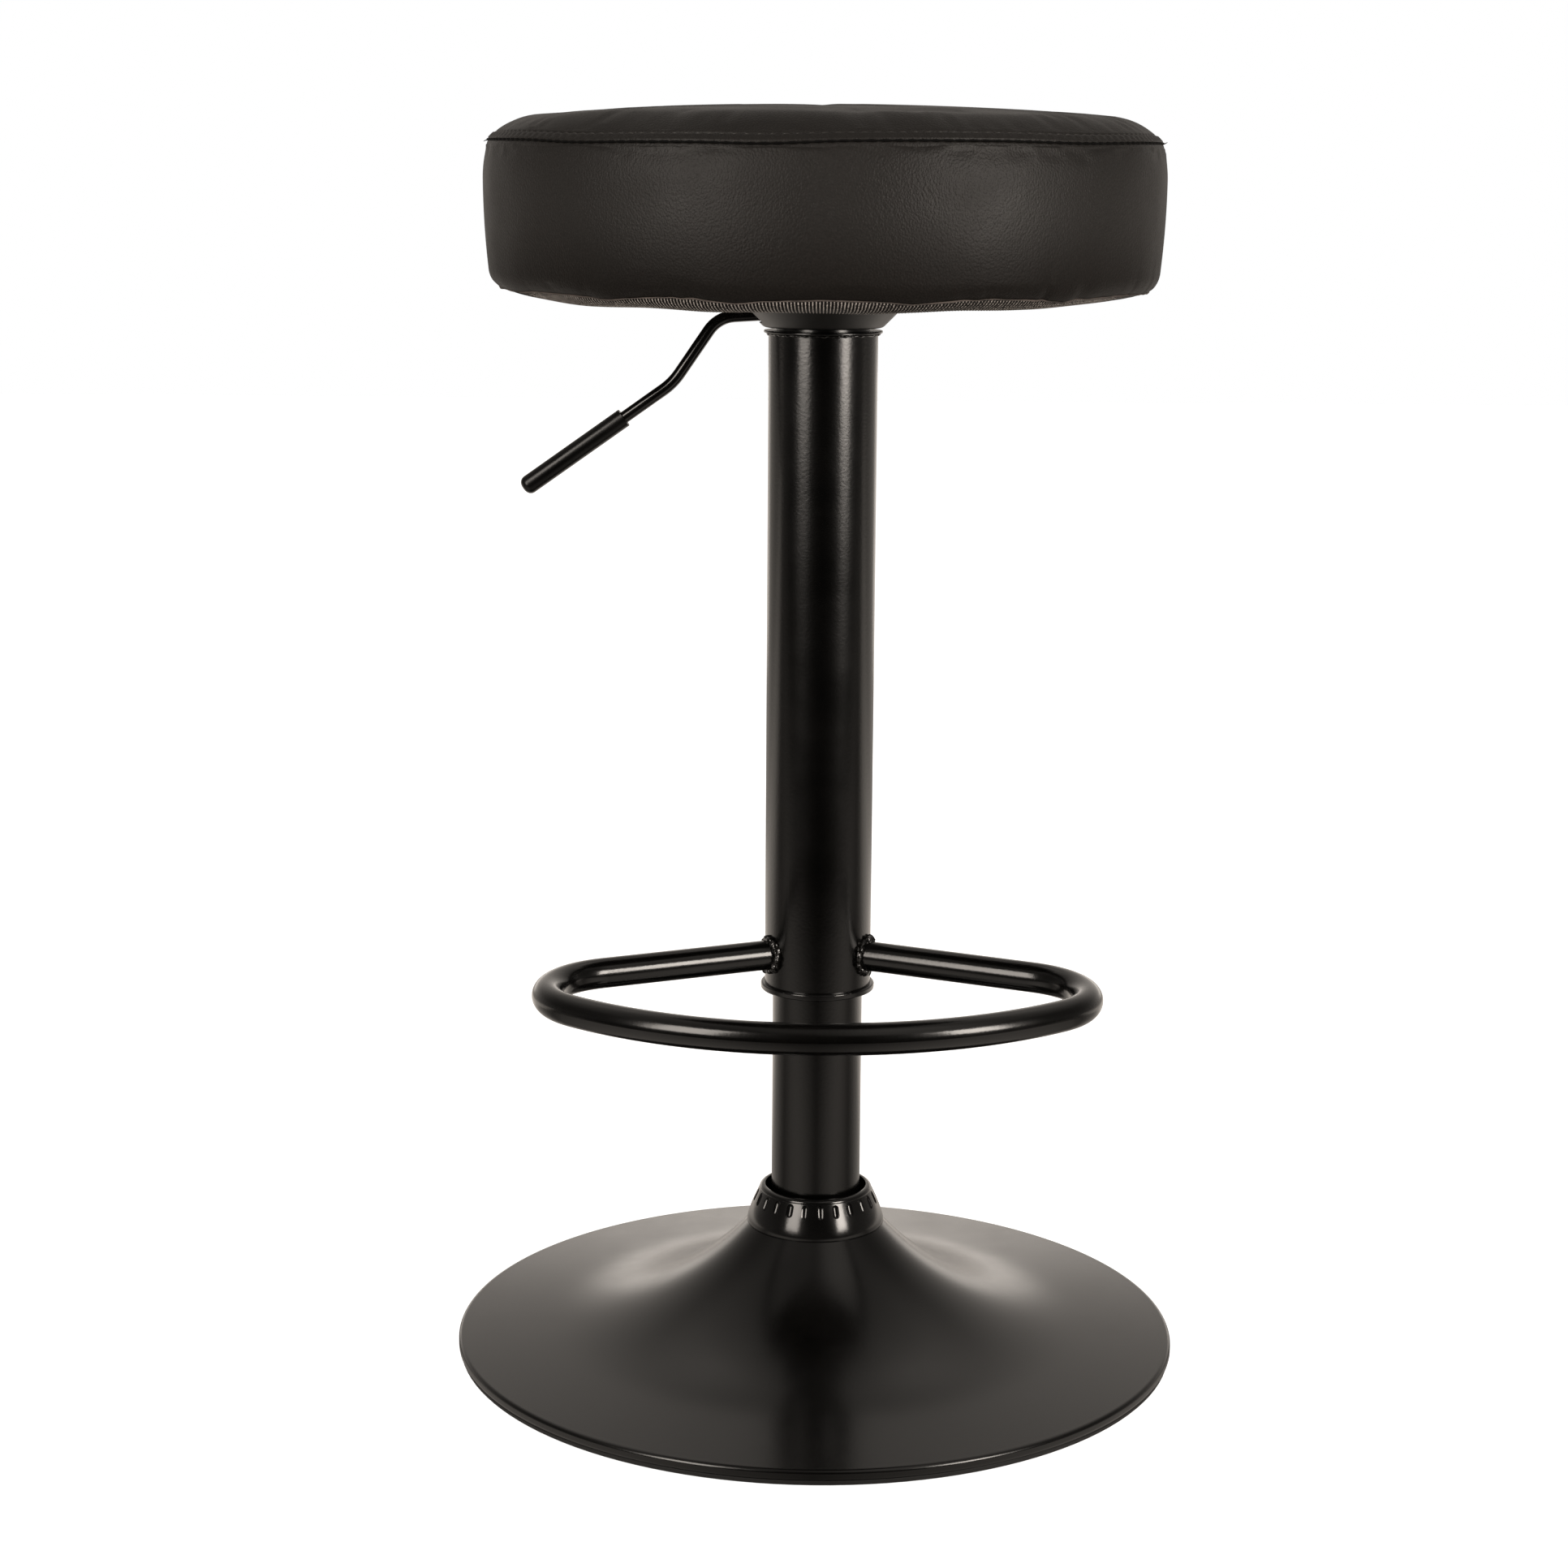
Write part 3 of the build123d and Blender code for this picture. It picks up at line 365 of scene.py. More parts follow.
# Lower column and base collar
# The column is a steel tube, coated satin black. The collar is a slotted moulding of glossy black
# plastic that hides the joint of column and neck.
column_coat = finish(
    "column_coat",
    tones=((0.0003, 0.0003, 0.0002), (0.0008, 0.0007, 0.0006)),
    roughness=(0.20, 0.25),
    grain=0.0016,
    relief=0.00004,
)
black_plastic = finish(
    "black_plastic",
    tones=((0.002, 0.002, 0.002), (0.0035, 0.0034, 0.0033)),
    roughness=(0.13, 0.19),
    grain=0.0022,
    relief=0.000006,
)
guide_plastic = finish(
    "guide_plastic",
    tones=((0.045, 0.045, 0.043), (0.07, 0.07, 0.066)),
    roughness=(0.35, 0.45),
    grain=0.001,
    relief=0.00002,
)
dress(column_coat, "lower_column")
dress(black_plastic, "base_collar")
dress(guide_plastic, "column_guide", "bearing_cage")


# Collar pockets
# Each blind slot of the collar has a hollowed floor, moulded smooth, which catches the lamps as a thin line.
def directions(turn):
    """Unit vectors that point outwards and sideways at angles from the front, which is -Y."""
    flat = 0 * turn
    outward = np.stack([np.sin(turn), -np.cos(turn), flat], axis=-1)
    sideways = np.stack([np.cos(turn), np.sin(turn), flat], axis=-1)
    return outward, sideways


def repeat_faces(faces, copies, points):
    """The faces of one shape for a number of copies of it, each with the same number of points."""
    return (np.arange(copies)[:, None, None] * points + faces).reshape(-1, 4)


upward = np.array([0.0, 0.0, 1.0])
pocket_count = 24
pocket_start = 5.0
pocket_turn = np.radians(pocket_start + 360.0 / pocket_count * np.arange(pocket_count))[:, None, None]
pocket_tilt = math.radians(24.0)
pocket_radius, pocket_height = 33.65, 86.2
pocket_length, pocket_width, pocket_depth = 3.75, 1.9, 1.15
pocket_side_rise, pocket_end_rise = 0.7, 0.35
pocket_rows, pocket_columns = 11, 9
share_along = np.linspace(1, -1, pocket_rows)[:, None, None]
share_across = np.linspace(-1, 1, pocket_columns)[:, None]
pocket_out, pocket_across = directions(pocket_turn)
pocket_normal = pocket_out * math.cos(pocket_tilt) + upward * math.sin(pocket_tilt)
pocket_along = upward * math.cos(pocket_tilt) - pocket_out * math.sin(pocket_tilt)
# The floor lies deepest in the middle and rises with the square across and the fourth power along.
pocket_floor = -pocket_depth + pocket_side_rise * share_across**2 + pocket_end_rise * share_along**4
pocket_points = (
    pocket_out * pocket_radius
    + upward * pocket_height
    + pocket_along * pocket_length * share_along
    + pocket_across * pocket_width * share_across
    + pocket_normal * pocket_floor
) * millimetre
one_pocket = grid_faces(pocket_rows, pocket_columns, closed=False)
pocket_faces = repeat_faces(one_pocket, pocket_count, pocket_rows * pocket_columns)
make_piece("collar_pockets", pocket_points, pocket_faces, black_plastic, "base")

# Gas spring
# Ground rod, piston, races and balls in bright steel, and the drawn cylinder with a thin black coat.
cylinder_coat = finish(
    "cylinder_coat",
    tones=((0.010, 0.010, 0.011), (0.016, 0.016, 0.017)),
    roughness=(0.28, 0.38),
    grain=0.0012,
    relief=0.000015,
)
dress(plain_steel, "bearing_lower_race", "bearing_upper_race", "bearing_balls", "piston_rod", "piston")
dress(plain_steel, "rod_washer", "rod_clip", "cylinder_gland", "valve_button")
dress(cylinder_coat, "gas_cylinder")

# Upper tube, bush and cap
# The tube slides over the lower column. A plastic bush closes it below and a pressed cap above.
dress(column_coat, "upper_tube", "taper_socket", "tube_cap")
dress(black_plastic, "tube_bush")


# Weld under the cap
# The cap is tacked to the tube by a thin, ragged run of weld, coated over in black.
def wander(draw, waves, turn):
    """Mean of sine waves round the axis, each with a drawn phase and strength."""
    phase = draw.uniform(0, 2 * np.pi, waves.shape)
    strength = draw.uniform(0.3, 1, waves.shape)
    return (np.sin(waves * turn + phase) * strength).mean(axis=0)


run_columns, run_sides = 480, 8
run_middle_radius, run_middle_height = 29.9, 571.0
run_draw = np.random.default_rng(5)
run_theta = np.linspace(-np.pi, np.pi, run_columns, endpoint=False)
run_waves = np.arange(9, 60, 3)[:, None]
size_wander, radius_wander, height_wander = [wander(run_draw, run_waves, run_theta) for lump in range(3)]
# The run is a ring of circles whose radius, height and size each wander.
run_around = np.linspace(0, 2 * np.pi, run_sides, endpoint=False)[:, None]
run_size = 0.62 + 1.3 * np.clip(size_wander, -0.25, 0.4)
run_radius = run_middle_radius + 0.9 * radius_wander + run_size * np.cos(run_around)
run_height = run_middle_height + 1.1 * height_wander - run_size * np.sin(run_around)
run_points = turned_grid(run_radius, run_height, run_theta)
run_faces = ring_faces(run_sides, run_columns)
weld_coat = finish(
    "weld_coat",
    tones=((0.0015, 0.0014, 0.0012), (0.0035, 0.0032, 0.0028)),
    roughness=(0.08, 0.16),
    grain=0.0019,
    relief=0.00014,
)
make_piece("tube_cap_weld", run_points, run_faces, weld_coat, "seat_post")

# Footrest
# One bent steel tube, coated semi-gloss black, butted to the upper tube on both sides.
footrest_coat = finish(
    "footrest_coat",
    tones=((0.0004, 0.0004, 0.0003), (0.0009, 0.0008, 0.0007)),
    roughness=(0.17, 0.22),
    grain=0.0018,
    relief=0.00003,
)
dress(footrest_coat, "footrest")

# Footrest welds
# A hand-laid bead runs round each arm where it meets the tube: overlapping scales of molten metal,
# coated over with the tube.
tube_radius = 0.0295
arm_radius = 0.00825
arm_height = 0.2295
arm_angle = math.radians(25.3)
bead_radius = 0.0024
bead_scales = 15
bead_rows = 180
bead_sides = 14


def weld_bead(side, seed):
    """Bead round an arm's root. Its path is where a cylinder of the arm's radius, aimed at the axis, meets
    the tube: at an angle turn round the arm, the distance out is the root of tube radius squared less the
    arm's sideways reach squared. The bead's radius swells once per scale, with seeded slow changes along it
    and lumps, products of two waves, over its skin."""
    draw = np.random.default_rng(seed)
    out = np.array([side * math.cos(arm_angle), -math.sin(arm_angle), 0.0])
    across = np.array([math.sin(arm_angle), side * math.cos(arm_angle), 0.0])
    turn = np.linspace(0, 2 * np.pi, bead_rows, endpoint=False)[:, None, None]
    around = np.linspace(0, 2 * np.pi, bead_sides, endpoint=False)[None, :, None]
    reach = arm_radius * np.cos(turn)
    height = arm_radius * np.sin(turn) + arm_height
    centre = out * np.sqrt(tube_radius**2 - reach**2) + across * reach + upward * height
    from_arm = across * np.cos(turn) + upward * np.sin(turn)
    from_tube = centre * np.array([1.0, 1.0, 0.0])
    from_tube = from_tube / np.linalg.norm(from_tube, axis=-1, keepdims=True)
    phase = (turn * bead_scales / (2 * np.pi) + 0.12 * np.sin(3 * turn + draw.uniform(0, 6))) % 1.0
    slow = 0.12 * np.sin(2 * turn + draw.uniform(0, 6)) + 0.10 * np.sin(5 * turn + draw.uniform(0, 6))
    lumps = 0.22 * np.sin(5 * turn + 2 * around + draw.uniform(0, 6)) * np.sin(9 * turn - 2 * around)
    lumps = lumps + 0.07 * np.sin(17 * turn + 3 * around) * np.sin(11 * turn - around + draw.uniform(0, 6))
    scale = 0.9 + 0.2 * np.sqrt(phase) + slow + lumps
    lean = 0.0006 * np.sin(4 * turn + draw.uniform(0, 6))
    centre = centre + from_tube * (0.0004 + lean) + from_arm * 0.0004
    return centre + bead_radius * scale * (from_arm * np.cos(around) + from_tube * np.sin(around))


bead_left = weld_bead(-1, 3)
bead_right = weld_bead(1, 8)
bead_faces = ring_faces(bead_rows, bead_sides)
welds = make_piece(
    "footrest_weld_beads",
    np.concatenate([bead_left.reshape(-1, 3), bead_right.reshape(-1, 3)]),
    np.concatenate([bead_faces, bead_faces[:, ::-1] + bead_rows * bead_sides]),
    weld_coat,
    "seat_post",
)
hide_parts("footrest_welds")

# Seat plate with its bracket and pin
# A pressed dish welded to the taper socket, satin black, with a pressed bracket for the lever.
plate_coat = finish(
    "plate_coat",
    tones=((0.002, 0.0019, 0.0017), (0.0035, 0.0032, 0.0029)),
    roughness=(0.36, 0.44),
    grain=0.0016,
    relief=0.000012,
)
dress(plate_coat, "seat_plate", "lever_bracket")
dress(plain_steel, "lever_pin")

# Height lever
# A bent steel rod, coated black, with a dipped vinyl grip pushed over its end.
lever_coat = finish(
    "lever_coat",
    tones=((0.0014, 0.0013, 0.0012), (0.0025, 0.0023, 0.0021)),
    roughness=(0.13, 0.18),
    grain=0.0024,
    relief=0.000006,
)
grip_vinyl = finish(
    "grip_vinyl",
    tones=((0.0007, 0.0007, 0.0007), (0.0014, 0.0013, 0.0012)),
    roughness=(0.24, 0.32),
    grain=0.0016,
    relief=0.00003,
    specular=0.3,
)
dress(lever_coat, "lever_rod")
dress(grip_vinyl, "lever_grip")

# Seat board and its fasteners
# A disc of birch plywood with four tee nuts; bolts and washers hold the seat plate to it.
plywood = finish(
    "plywood",
    tones=((0.30, 0.19, 0.10), (0.46, 0.32, 0.19)),
    roughness=(0.55, 0.7),
    grain=0.0006,
    relief=0.00006,
    mottle=14.0,
    stretch=(0.25, 3.0, 8.0),
)
dress(plywood, "seat_board")
dress(plain_steel, "tee_nuts", "seat_bolts", "bolt_washers")

# Seat cushion
# A foam pad on the board under a sewn cover of leatherette: a crowned top panel and a side band that meet
# in a seam, a row of top-stitching above it, and a hem drawn under the board and stapled there.
crown_turn = 85.9
seam_turn = 40.0
side_turn = 17.33
edge_turn = -6.0
strip_turn = 13.3
cut_turn = -56.0
edge_centre = (165.8, 606.3)
shoulder = (149.2, 647.6)
shoulder_round = 38.0
# The profile runs in millimetres from the crown over the seam and the side to the hem, then back over
# the board.
profile_runs = [
    arc((0.0, -1433.9), 2124.8, 90.0, crown_turn, 27),
    arc(shoulder, shoulder_round, crown_turn, seam_turn + strip_turn, 9),
    arc(shoulder, shoulder_round, seam_turn + strip_turn, seam_turn, 21),
    arc((114.2, 652.0), 67.0, side_turn, side_turn - 2.6, 8),
    arc((114.2, 652.0), 67.0, side_turn - 2.6, 0.0, 9),
    arc((-268.8, 652.0), 450.0, 0.0, edge_turn, 17),
    arc(edge_centre, 13.0, edge_turn, cut_turn, 12),
    arc(edge_centre, np.linspace(13.0, 11.8, 3), cut_turn, cut_turn - 1.0, 3),
    arc(edge_centre, np.linspace(11.8, 13.0, 6), cut_turn - 1.0, -90.0, 6),
    np.linspace((165.8, 593.3), (140.4, 593.3), 9),
    arc((140.4, 593.8), 0.5, -90.0, -270.0, 4),
    np.linspace((140.4, 594.3), (164.2, 594.3), 4),
    np.linspace((164.2, 594.3), (164.2, 606.6), 3),
    np.linspace((164.2, 606.6), (0.0, 606.6), 7),
]
profile = np.concatenate([profile_runs[0]] + [run[1:] for run in profile_runs[1:]])
seam_row = sum(len(run) - 1 for run in profile_runs[:3])
cut_row = sum(len(run) - 1 for run in profile_runs[:7])
hem_row = sum(len(run) - 1 for run in profile_runs[:9])
board_row = sum(len(run) - 1 for run in profile_runs[:10])
steps = np.linalg.norm(np.diff(profile, axis=0), axis=1)
along = np.concatenate([[0.0], np.cumsum(steps)])
along = along - along[seam_row]
cut_along = along - along[cut_row]

stitches = 176
columns = 4 * stitches
rows = len(profile)
theta = np.linspace(-np.pi, np.pi, columns, endpoint=False)


def window(value, low, high, soft):
    """1 between low and high, falling smoothly to 0 over the distance soft on both sides."""
    rise = np.clip((value - low) / soft + 0.5, 0, 1)
    fall = np.clip((high - value) / soft + 0.5, 0, 1)
    both = np.minimum(rise, fall)
    return both * both * (3 - 2 * both)


def bumps(turn, spots):
    """Sum of bell curves round the seat: each spot gives its place and width in degrees and its height."""
    place, width, height = (np.array(column)[:, None] for column in zip(*spots))
    away = (np.degrees(turn)[None, :] - place + 180.0) % 360.0 - 180.0
    return (height * np.exp(-((away / width) ** 2))).sum(axis=0)


# The seam wanders by a millimetre or two where the panels were pulled.
seam_wander = bumps(
    theta,
    (
        (-25, 30, -1.5),
        (-44, 9, -0.8),
        (-9, 8, -1.0),
        (46, 12, -0.8),
        (110, 18, -1.3),
        (150, 12, -0.9),
        (-120, 20, -1.2),
        (-160, 10, -0.7),
    ),
)
edge_wander = bumps(
    theta,
    (
        (-52, 5, 0.9),
        (-38, 4, -0.7),
        (-27, 3.5, 1.1),
        (-14, 5, -0.8),
        (3, 4, 0.9),
        (14, 5, -0.7),
        (29, 4, 0.8),
        (43, 5, -0.8),
        (58, 4, 0.8),
        (85, 6, -0.7),
        (120, 5, 0.9),
        (165, 6, -0.8),
        (-150, 5, 0.8),
        (-100, 6, -0.9),
        (-75, 4, 0.6),
    ),
)


def cushion_points(inset):
    """Surface of the cushion: the profile turned round the axis, moved in by inset millimetres along its own
    normal, with the seam and the lower edge shifted up and down by their wander."""
    tangent = np.gradient(profile, axis=0)
    tangent = tangent / np.linalg.norm(tangent, axis=1, keepdims=True)
    normal = np.stack([-tangent[:, 1], tangent[:, 0]], axis=1)
    radius = (profile[:, 0] - inset * normal[:, 0])[:, None] + 0 * theta
    height = (profile[:, 1] - inset * normal[:, 1])[:, None] + 0 * theta
    height = height + np.exp(-((along / 16.0) ** 2))[:, None] * seam_wander
    height = height + np.exp(-((cut_along / 5.0) ** 2))[:, None] * edge_wander
    return radius, height, normal


def cushion_faces(row_count, column_count):
    """Quads of the grid, with a fan to a single point in place of its first and its last row."""
    last = 1 + (row_count - 2) * column_count
    column = np.arange(column_count)
    beside = (column + 1) % column_count
    quads = grid_faces(row_count - 2, column_count) + 1
    top = np.stack([0 * column, 1 + column, 1 + beside], axis=-1)
    ring = last - column_count
    bottom = np.stack([ring + column, 0 * column + last, ring + beside], axis=-1)
    return quads.tolist() + top.tolist() + bottom.tolist()


def cushion_list(points):
    """The grid's points with the first and the last row drawn together to one point each."""
    first = points[:1].mean(axis=1)
    last = points[-1:].mean(axis=1)
    return np.concatenate([first, points[1:-1].reshape(-1, 3), last])


def swell(start_inset, cap):
    """Cloth simulation of the cover. A copy with a quarter of the columns starts inset, is held at the seam,
    at each staple and over the board, and is blown up from inside for some frames. Gives how far the grid
    moves along its normal beyond the mean of its row, capped, for every row and column."""
    thinning = 4
    frames = 20
    few = columns // thinning
    radius, height, normal = cushion_points(start_inset)
    listed = cushion_list(turned_grid(radius, height, theta)[:, ::thinning])
    mesh = bpy.data.meshes.new("cover_test")
    mesh.from_pydata(listed.tolist(), [], cushion_faces(rows, few))
    cover = bpy.data.objects.new("cover_test", mesh)
    bpy.context.scene.collection.objects.link(cover)
    held = np.zeros((rows, few))
    held[seam_row - 1 : seam_row + 2] = 1
    held[hem_row + 4, ::5] = 1
    held[board_row - 2 :] = 1
    listed_held = np.concatenate([held[0, :1], held[1:-1].ravel(), held[-1, :1]])
    group = cover.vertex_groups.new(name="held")
    group.add(np.flatnonzero(listed_held).tolist(), 1.0, "REPLACE")
    cloth = cover.modifiers.new("cover", "CLOTH")
    cloth.settings.quality = 6
    cloth.settings.mass = 0.3
    cloth.settings.tension_stiffness = 12
    cloth.settings.compression_stiffness = 12
    cloth.settings.bending_stiffness = 0.4
    cloth.settings.use_pressure = True
    cloth.settings.uniform_pressure_force = 4
    cloth.settings.shrink_min = 0.012
    cloth.settings.vertex_group_mass = "held"
    cloth.settings.effector_weights.gravity = 0
    cloth.point_cache.frame_start = 1
    cloth.point_cache.frame_end = frames
    for step in range(1, frames + 1):
        bpy.context.scene.frame_set(step)
    shaped = cover.evaluated_get(bpy.context.evaluated_depsgraph_get())
    moved = np.zeros(len(listed) * 3, dtype=np.float32)
    shaped.data.vertices.foreach_get("co", moved)
    bpy.context.scene.frame_set(1)
    bpy.data.objects.remove(cover)
    bpy.data.meshes.remove(mesh)
    move = (moved.reshape(-1, 3) - listed)[1:-1].reshape(rows - 2, few, 3) / millimetre
    turn = theta[::thinning]
    outward = move[..., 0] * np.sin(turn) - move[..., 1] * np.cos(turn)
    amount = outward * normal[1:-1, :1] + move[..., 2] * normal[1:-1, 1:]
    amount = np.clip(amount - amount.mean(axis=1, keepdims=True), -cap, cap)
    amount = np.concatenate([0 * amount[:1], amount, 0 * amount[:1]])
    position = np.arange(columns) / thinning
    lower = np.floor(position).astype(int)
    share = position - lower
    return amount[:, lower] * (1 - share) + amount[:, (lower + 1) % few] * share


stitch_along = -5.6
groove_depth, groove_width = 1.3, 0.55
strip_rise, stitch_dip, tick_dip, band_dip = 0.65, 0.6, 0.5, 0.10
radius, height, normal = cushion_points(0.0)
knot = 0.5 - 0.5 * np.cos(stitches * theta + 0.6 * np.sin(23 * theta))
tick = (0.5 - 0.5 * np.cos(stitches * theta)) ** 2
side_pull = 0.35 + 0.65 * np.sin(theta) ** 2
# A knotted groove at the seam, a padded strip above it, a furrow under the top-stitching, and a dip between
# the stitches that is deeper on the sides of the seat and reaches a little way into the side band.
lift = -groove_depth * np.exp(-((along / groove_width) ** 2))[:, None] * (0.45 + 0.55 * knot)
lift += strip_rise * window(along, stitch_along + 0.5, -0.8, 0.7)[:, None]
lift -= stitch_dip * np.exp(-(((along - stitch_along) / 0.55) ** 2))[:, None]
lift -= tick_dip * window(along, stitch_along - 1.0, -1.2, 1.6)[:, None] * tick * side_pull
lift -= band_dip * window(along, 0.8, 5.0, 2.0)[:, None] * tick

# Puckers: short upright creases in the side band, where the hem is drawn in under the board.
pucker_draw = np.random.default_rng(21)
pucker_count = 70
pucker_place = pucker_draw.uniform(-180, 180, pucker_count)
pucker_width = pucker_draw.uniform(0.7, 1.8, pucker_count)
pucker_height = pucker_draw.uniform(-0.5, 0.25, pucker_count)
pucker_spots = list(zip(pucker_place, pucker_width, pucker_height))
lift += np.exp(-(((cut_along + 3.0) / 11.0) ** 2))[:, None] * bumps(theta, pucker_spots)
lift += swell(start_inset=1.0, cap=0.5)
radius = radius + lift * normal[:, :1]
height = height + lift * normal[:, 1:]
cover_grid = turned_grid(radius, height, theta)

leatherette = bpy.data.materials.new("leatherette")
tree = new_tree(leatherette)
place = add(tree, "TexCoord").outputs["Object"]
upright_grain = add(tree, "Mapping", {"Vector": place, "Scale": (1, 1, 0.78)}).outputs[0]
stretch_lines = add(tree, "Mapping", {"Vector": place, "Scale": (1, 1, 0.2)}).outputs[0]
pebble = {"Vector": upright_grain, "Scale": 1050.0, "Randomness": 1.0}
pebble = add(tree, "TexVoronoi", pebble, feature="SMOOTH_F1").outputs["Distance"]
crease = {"Vector": upright_grain, "Scale": 1350.0, "Detail": 3.0, "Roughness": 0.55}
crease = add(tree, "TexNoise", crease).outputs["Fac"]
pull = add(tree, "TexNoise", {"Vector": stretch_lines, "Scale": 800.0, "Detail": 3.0}).outputs["Fac"]
cloud = add(tree, "TexNoise", {"Vector": place, "Scale": 22.0, "Detail": 3.0}).outputs["Fac"]
# Pebbles stand up from the surface, fine creases roughen them and faint pull lines run upright over both.
pebbled = add(tree, "Bump", {"Height": pebble, "Strength": 0.9, "Distance": 0.00022}, invert=True).outputs[0]
creased = {"Height": crease, "Strength": 0.75, "Distance": 0.0002, "Normal": pebbled}
creased = add(tree, "Bump", creased).outputs[0]
pulled = {"Height": pull, "Strength": 0.2, "Distance": 0.00016, "Normal": creased}
pulled = add(tree, "Bump", pulled).outputs[0]
# The side band's sheen is turned down towards its lower edge over the board: painted shade that darkens the
# lower side.
above_floor = add(tree, "SeparateXYZ", {0: place}).outputs["Z"]
shader = add(
    tree,
    "BsdfPrincipled",
    {
        "Base Color": ramp(tree, crease, (0.32, (0.0062, 0.0053, 0.0046)), (0.72, (0.0112, 0.0096, 0.0084))),
        "Roughness": fade(tree, cloud, 0.3, 0.7, 0.50, 0.60, "LINEAR"),
        "Specular IOR Level": fade(tree, above_floor, 0.597, 0.642, 0.08, 0.3),
        "Normal": pulled,
    },
)
add(tree, "OutputMaterial", {"Surface": shader.outputs[0]})

cushion = make_piece(
    "seat_cushion",
    cushion_list(cover_grid),
    cushion_faces(rows, columns),
    leatherette,
    "seat_post",
)
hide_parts("seat_foam", "cover_top", "cover_side")

# Seam cord and top-stitching
# Black sewing thread: the seam's own loops show as a knotty line between the panels, and single stitches
# lie in a row above it, each dipping into its needle holes.
thread = finish(
    "thread",
    tones=((0.0006, 0.0005, 0.0005), (0.0018, 0.0016, 0.0015)),
    roughness=(0.75, 0.9),
    grain=0.0005,
    relief=0.0001,
    specular=0.12,
)
waxed_thread = finish(
    "waxed_thread",
    tones=((0.012, 0.0105, 0.0095), (0.03, 0.027, 0.024)),
    roughness=(0.4, 0.5),
    grain=0.0005,
    relief=0.0001,
)


def row_at(distance):
    """Points and outward directions of the cover's row that is nearest to a distance from the seam."""
    row = int(np.argmin(np.abs(along[:hem_row] - distance)))
    return cover_grid[row], normal[row, 0] * directions(theta)[0] + normal[row, 1] * upward


cord_sides = 8
seam_points, seam_out = row_at(0.0)
cord_turn = np.linspace(0, 2 * np.pi, cord_sides, endpoint=False)[:, None, None]
cord_radius = (0.00030 + 0.00032 * knot)[:, None]
cord_centre = seam_points + seam_out * (0.00020 + 0.00108 * knot)[:, None]
cord = cord_centre + cord_radius * (seam_out * np.cos(cord_turn) - upward * np.sin(cord_turn))
cord_faces = ring_faces(cord_sides, columns)
make_piece("cover_seam_cord", cord, cord_faces, thread, "seat_post")

# Three thread ends stick out of the seam, each with its angle from the front and its droop.
loose_ends = ((-86.0, -0.3), (86.0, 0.35), (-152.0, -0.4))
end_length = 0.003
end_radius = 0.00062
end_stations, end_sides = 8, 6
end_share = np.linspace(0, 1, end_stations)[:, None, None]
end_around = np.linspace(0, 2 * np.pi, end_sides, endpoint=False)[None, :, None]


def thread_end(angle, droop):
    """A tapering curved tube: from the seam outwards, bending by droop times the square of the way along."""
    column = int(np.argmin(np.abs(np.degrees(theta) - angle)))
    outward, sideways = directions(theta[column])
    bend = (upward * droop + sideways * 0.2) * end_share**2
    centre = cord_centre[column] + end_length * (outward * (end_share - 0.15) + bend)
    ring = sideways * np.cos(end_around) + upward * np.sin(end_around)
    return centre + end_radius * (1 - 0.75 * end_share) * ring


end_points = np.stack([thread_end(angle, droop) for angle, droop in loose_ends])
one_end = grid_faces(end_stations, end_sides)[:, ::-1]
end_faces = repeat_faces(one_end, len(loose_ends), end_stations * end_sides)
make_piece("cover_thread_ends", end_points, end_faces, thread, "seat_post")

stitch_stations, stitch_sides = 9, 6
stitch_fill = 0.72
stitch_size = 0.00036
stitch_rise, stitch_sink = 0.00042, 0.00012
stitch_points, stitch_out = row_at(stitch_along)
station = np.linspace(-0.5, 0.5, stitch_stations)
stitch_theta = (np.arange(stitches)[:, None] + station * stitch_fill) * 2 * np.pi / stitches - np.pi


def at_stitches(values):
    """Vectors of a row of the cover, read between its columns at every station of every stitch."""
    return np.stack([np.interp(stitch_theta, theta, part, period=2 * np.pi) for part in values.T], axis=-1)


stitch_place = at_stitches(stitch_points)
stitch_lift = at_stitches(stitch_out)
stitch_along_row = np.gradient(stitch_place, axis=1)
stitch_along_row = stitch_along_row / np.linalg.norm(stitch_along_row, axis=-1, keepdims=True)
stitch_across = np.cross(stitch_lift, stitch_along_row)
arch = np.cos(np.pi * station)[None, :, None]
stitch_centre = stitch_place + stitch_lift * (stitch_rise * arch - stitch_sink)
stitch_turn = np.linspace(0, 2 * np.pi, stitch_sides, endpoint=False)[None, None, :, None]
stitch_radius = stitch_size * (0.35 + 0.65 * np.sqrt(arch))[:, :, None]
stitch_mesh = stitch_centre[:, :, None] + stitch_radius * (
    stitch_lift[:, :, None] * np.cos(stitch_turn) - stitch_across[:, :, None] * np.sin(stitch_turn)
)
one_stitch = grid_faces(stitch_stations, stitch_sides)
stitch_faces = repeat_faces(one_stitch, stitches, stitch_stations * stitch_sides)
make_piece("cover_top_stitching", stitch_mesh, stitch_faces, waxed_thread, "seat_post")

# Cut edge of the side band
# The band's lower edge is left raw, so the knitted backing of the leatherette shows as a thin line.
backing_knit = finish(
    "backing_knit",
    tones=((0.02, 0.017, 0.015), (0.12, 0.10, 0.09)),
    roughness=(0.75, 0.9),
    grain=0.0006,
    relief=0.0002,
    mottle=90.0,
    specular=0.2,
)
raw_drop = np.array([0, 0, 0.0003])
raw_edge = 0.9 * cover_grid[cut_row] + 0.1 * cover_grid[cut_row + 2] - raw_drop
raw_out = directions(theta)[0]
raw_radius = (0.00038 + 0.00016 * np.sin(31 * theta) * np.sin(13 * theta))[:, None]
raw_tube = raw_edge + raw_radius * (raw_out * np.cos(cord_turn) - upward * np.sin(cord_turn))
make_piece("cover_cut_edge", raw_tube, cord_faces, backing_knit, "seat_post")

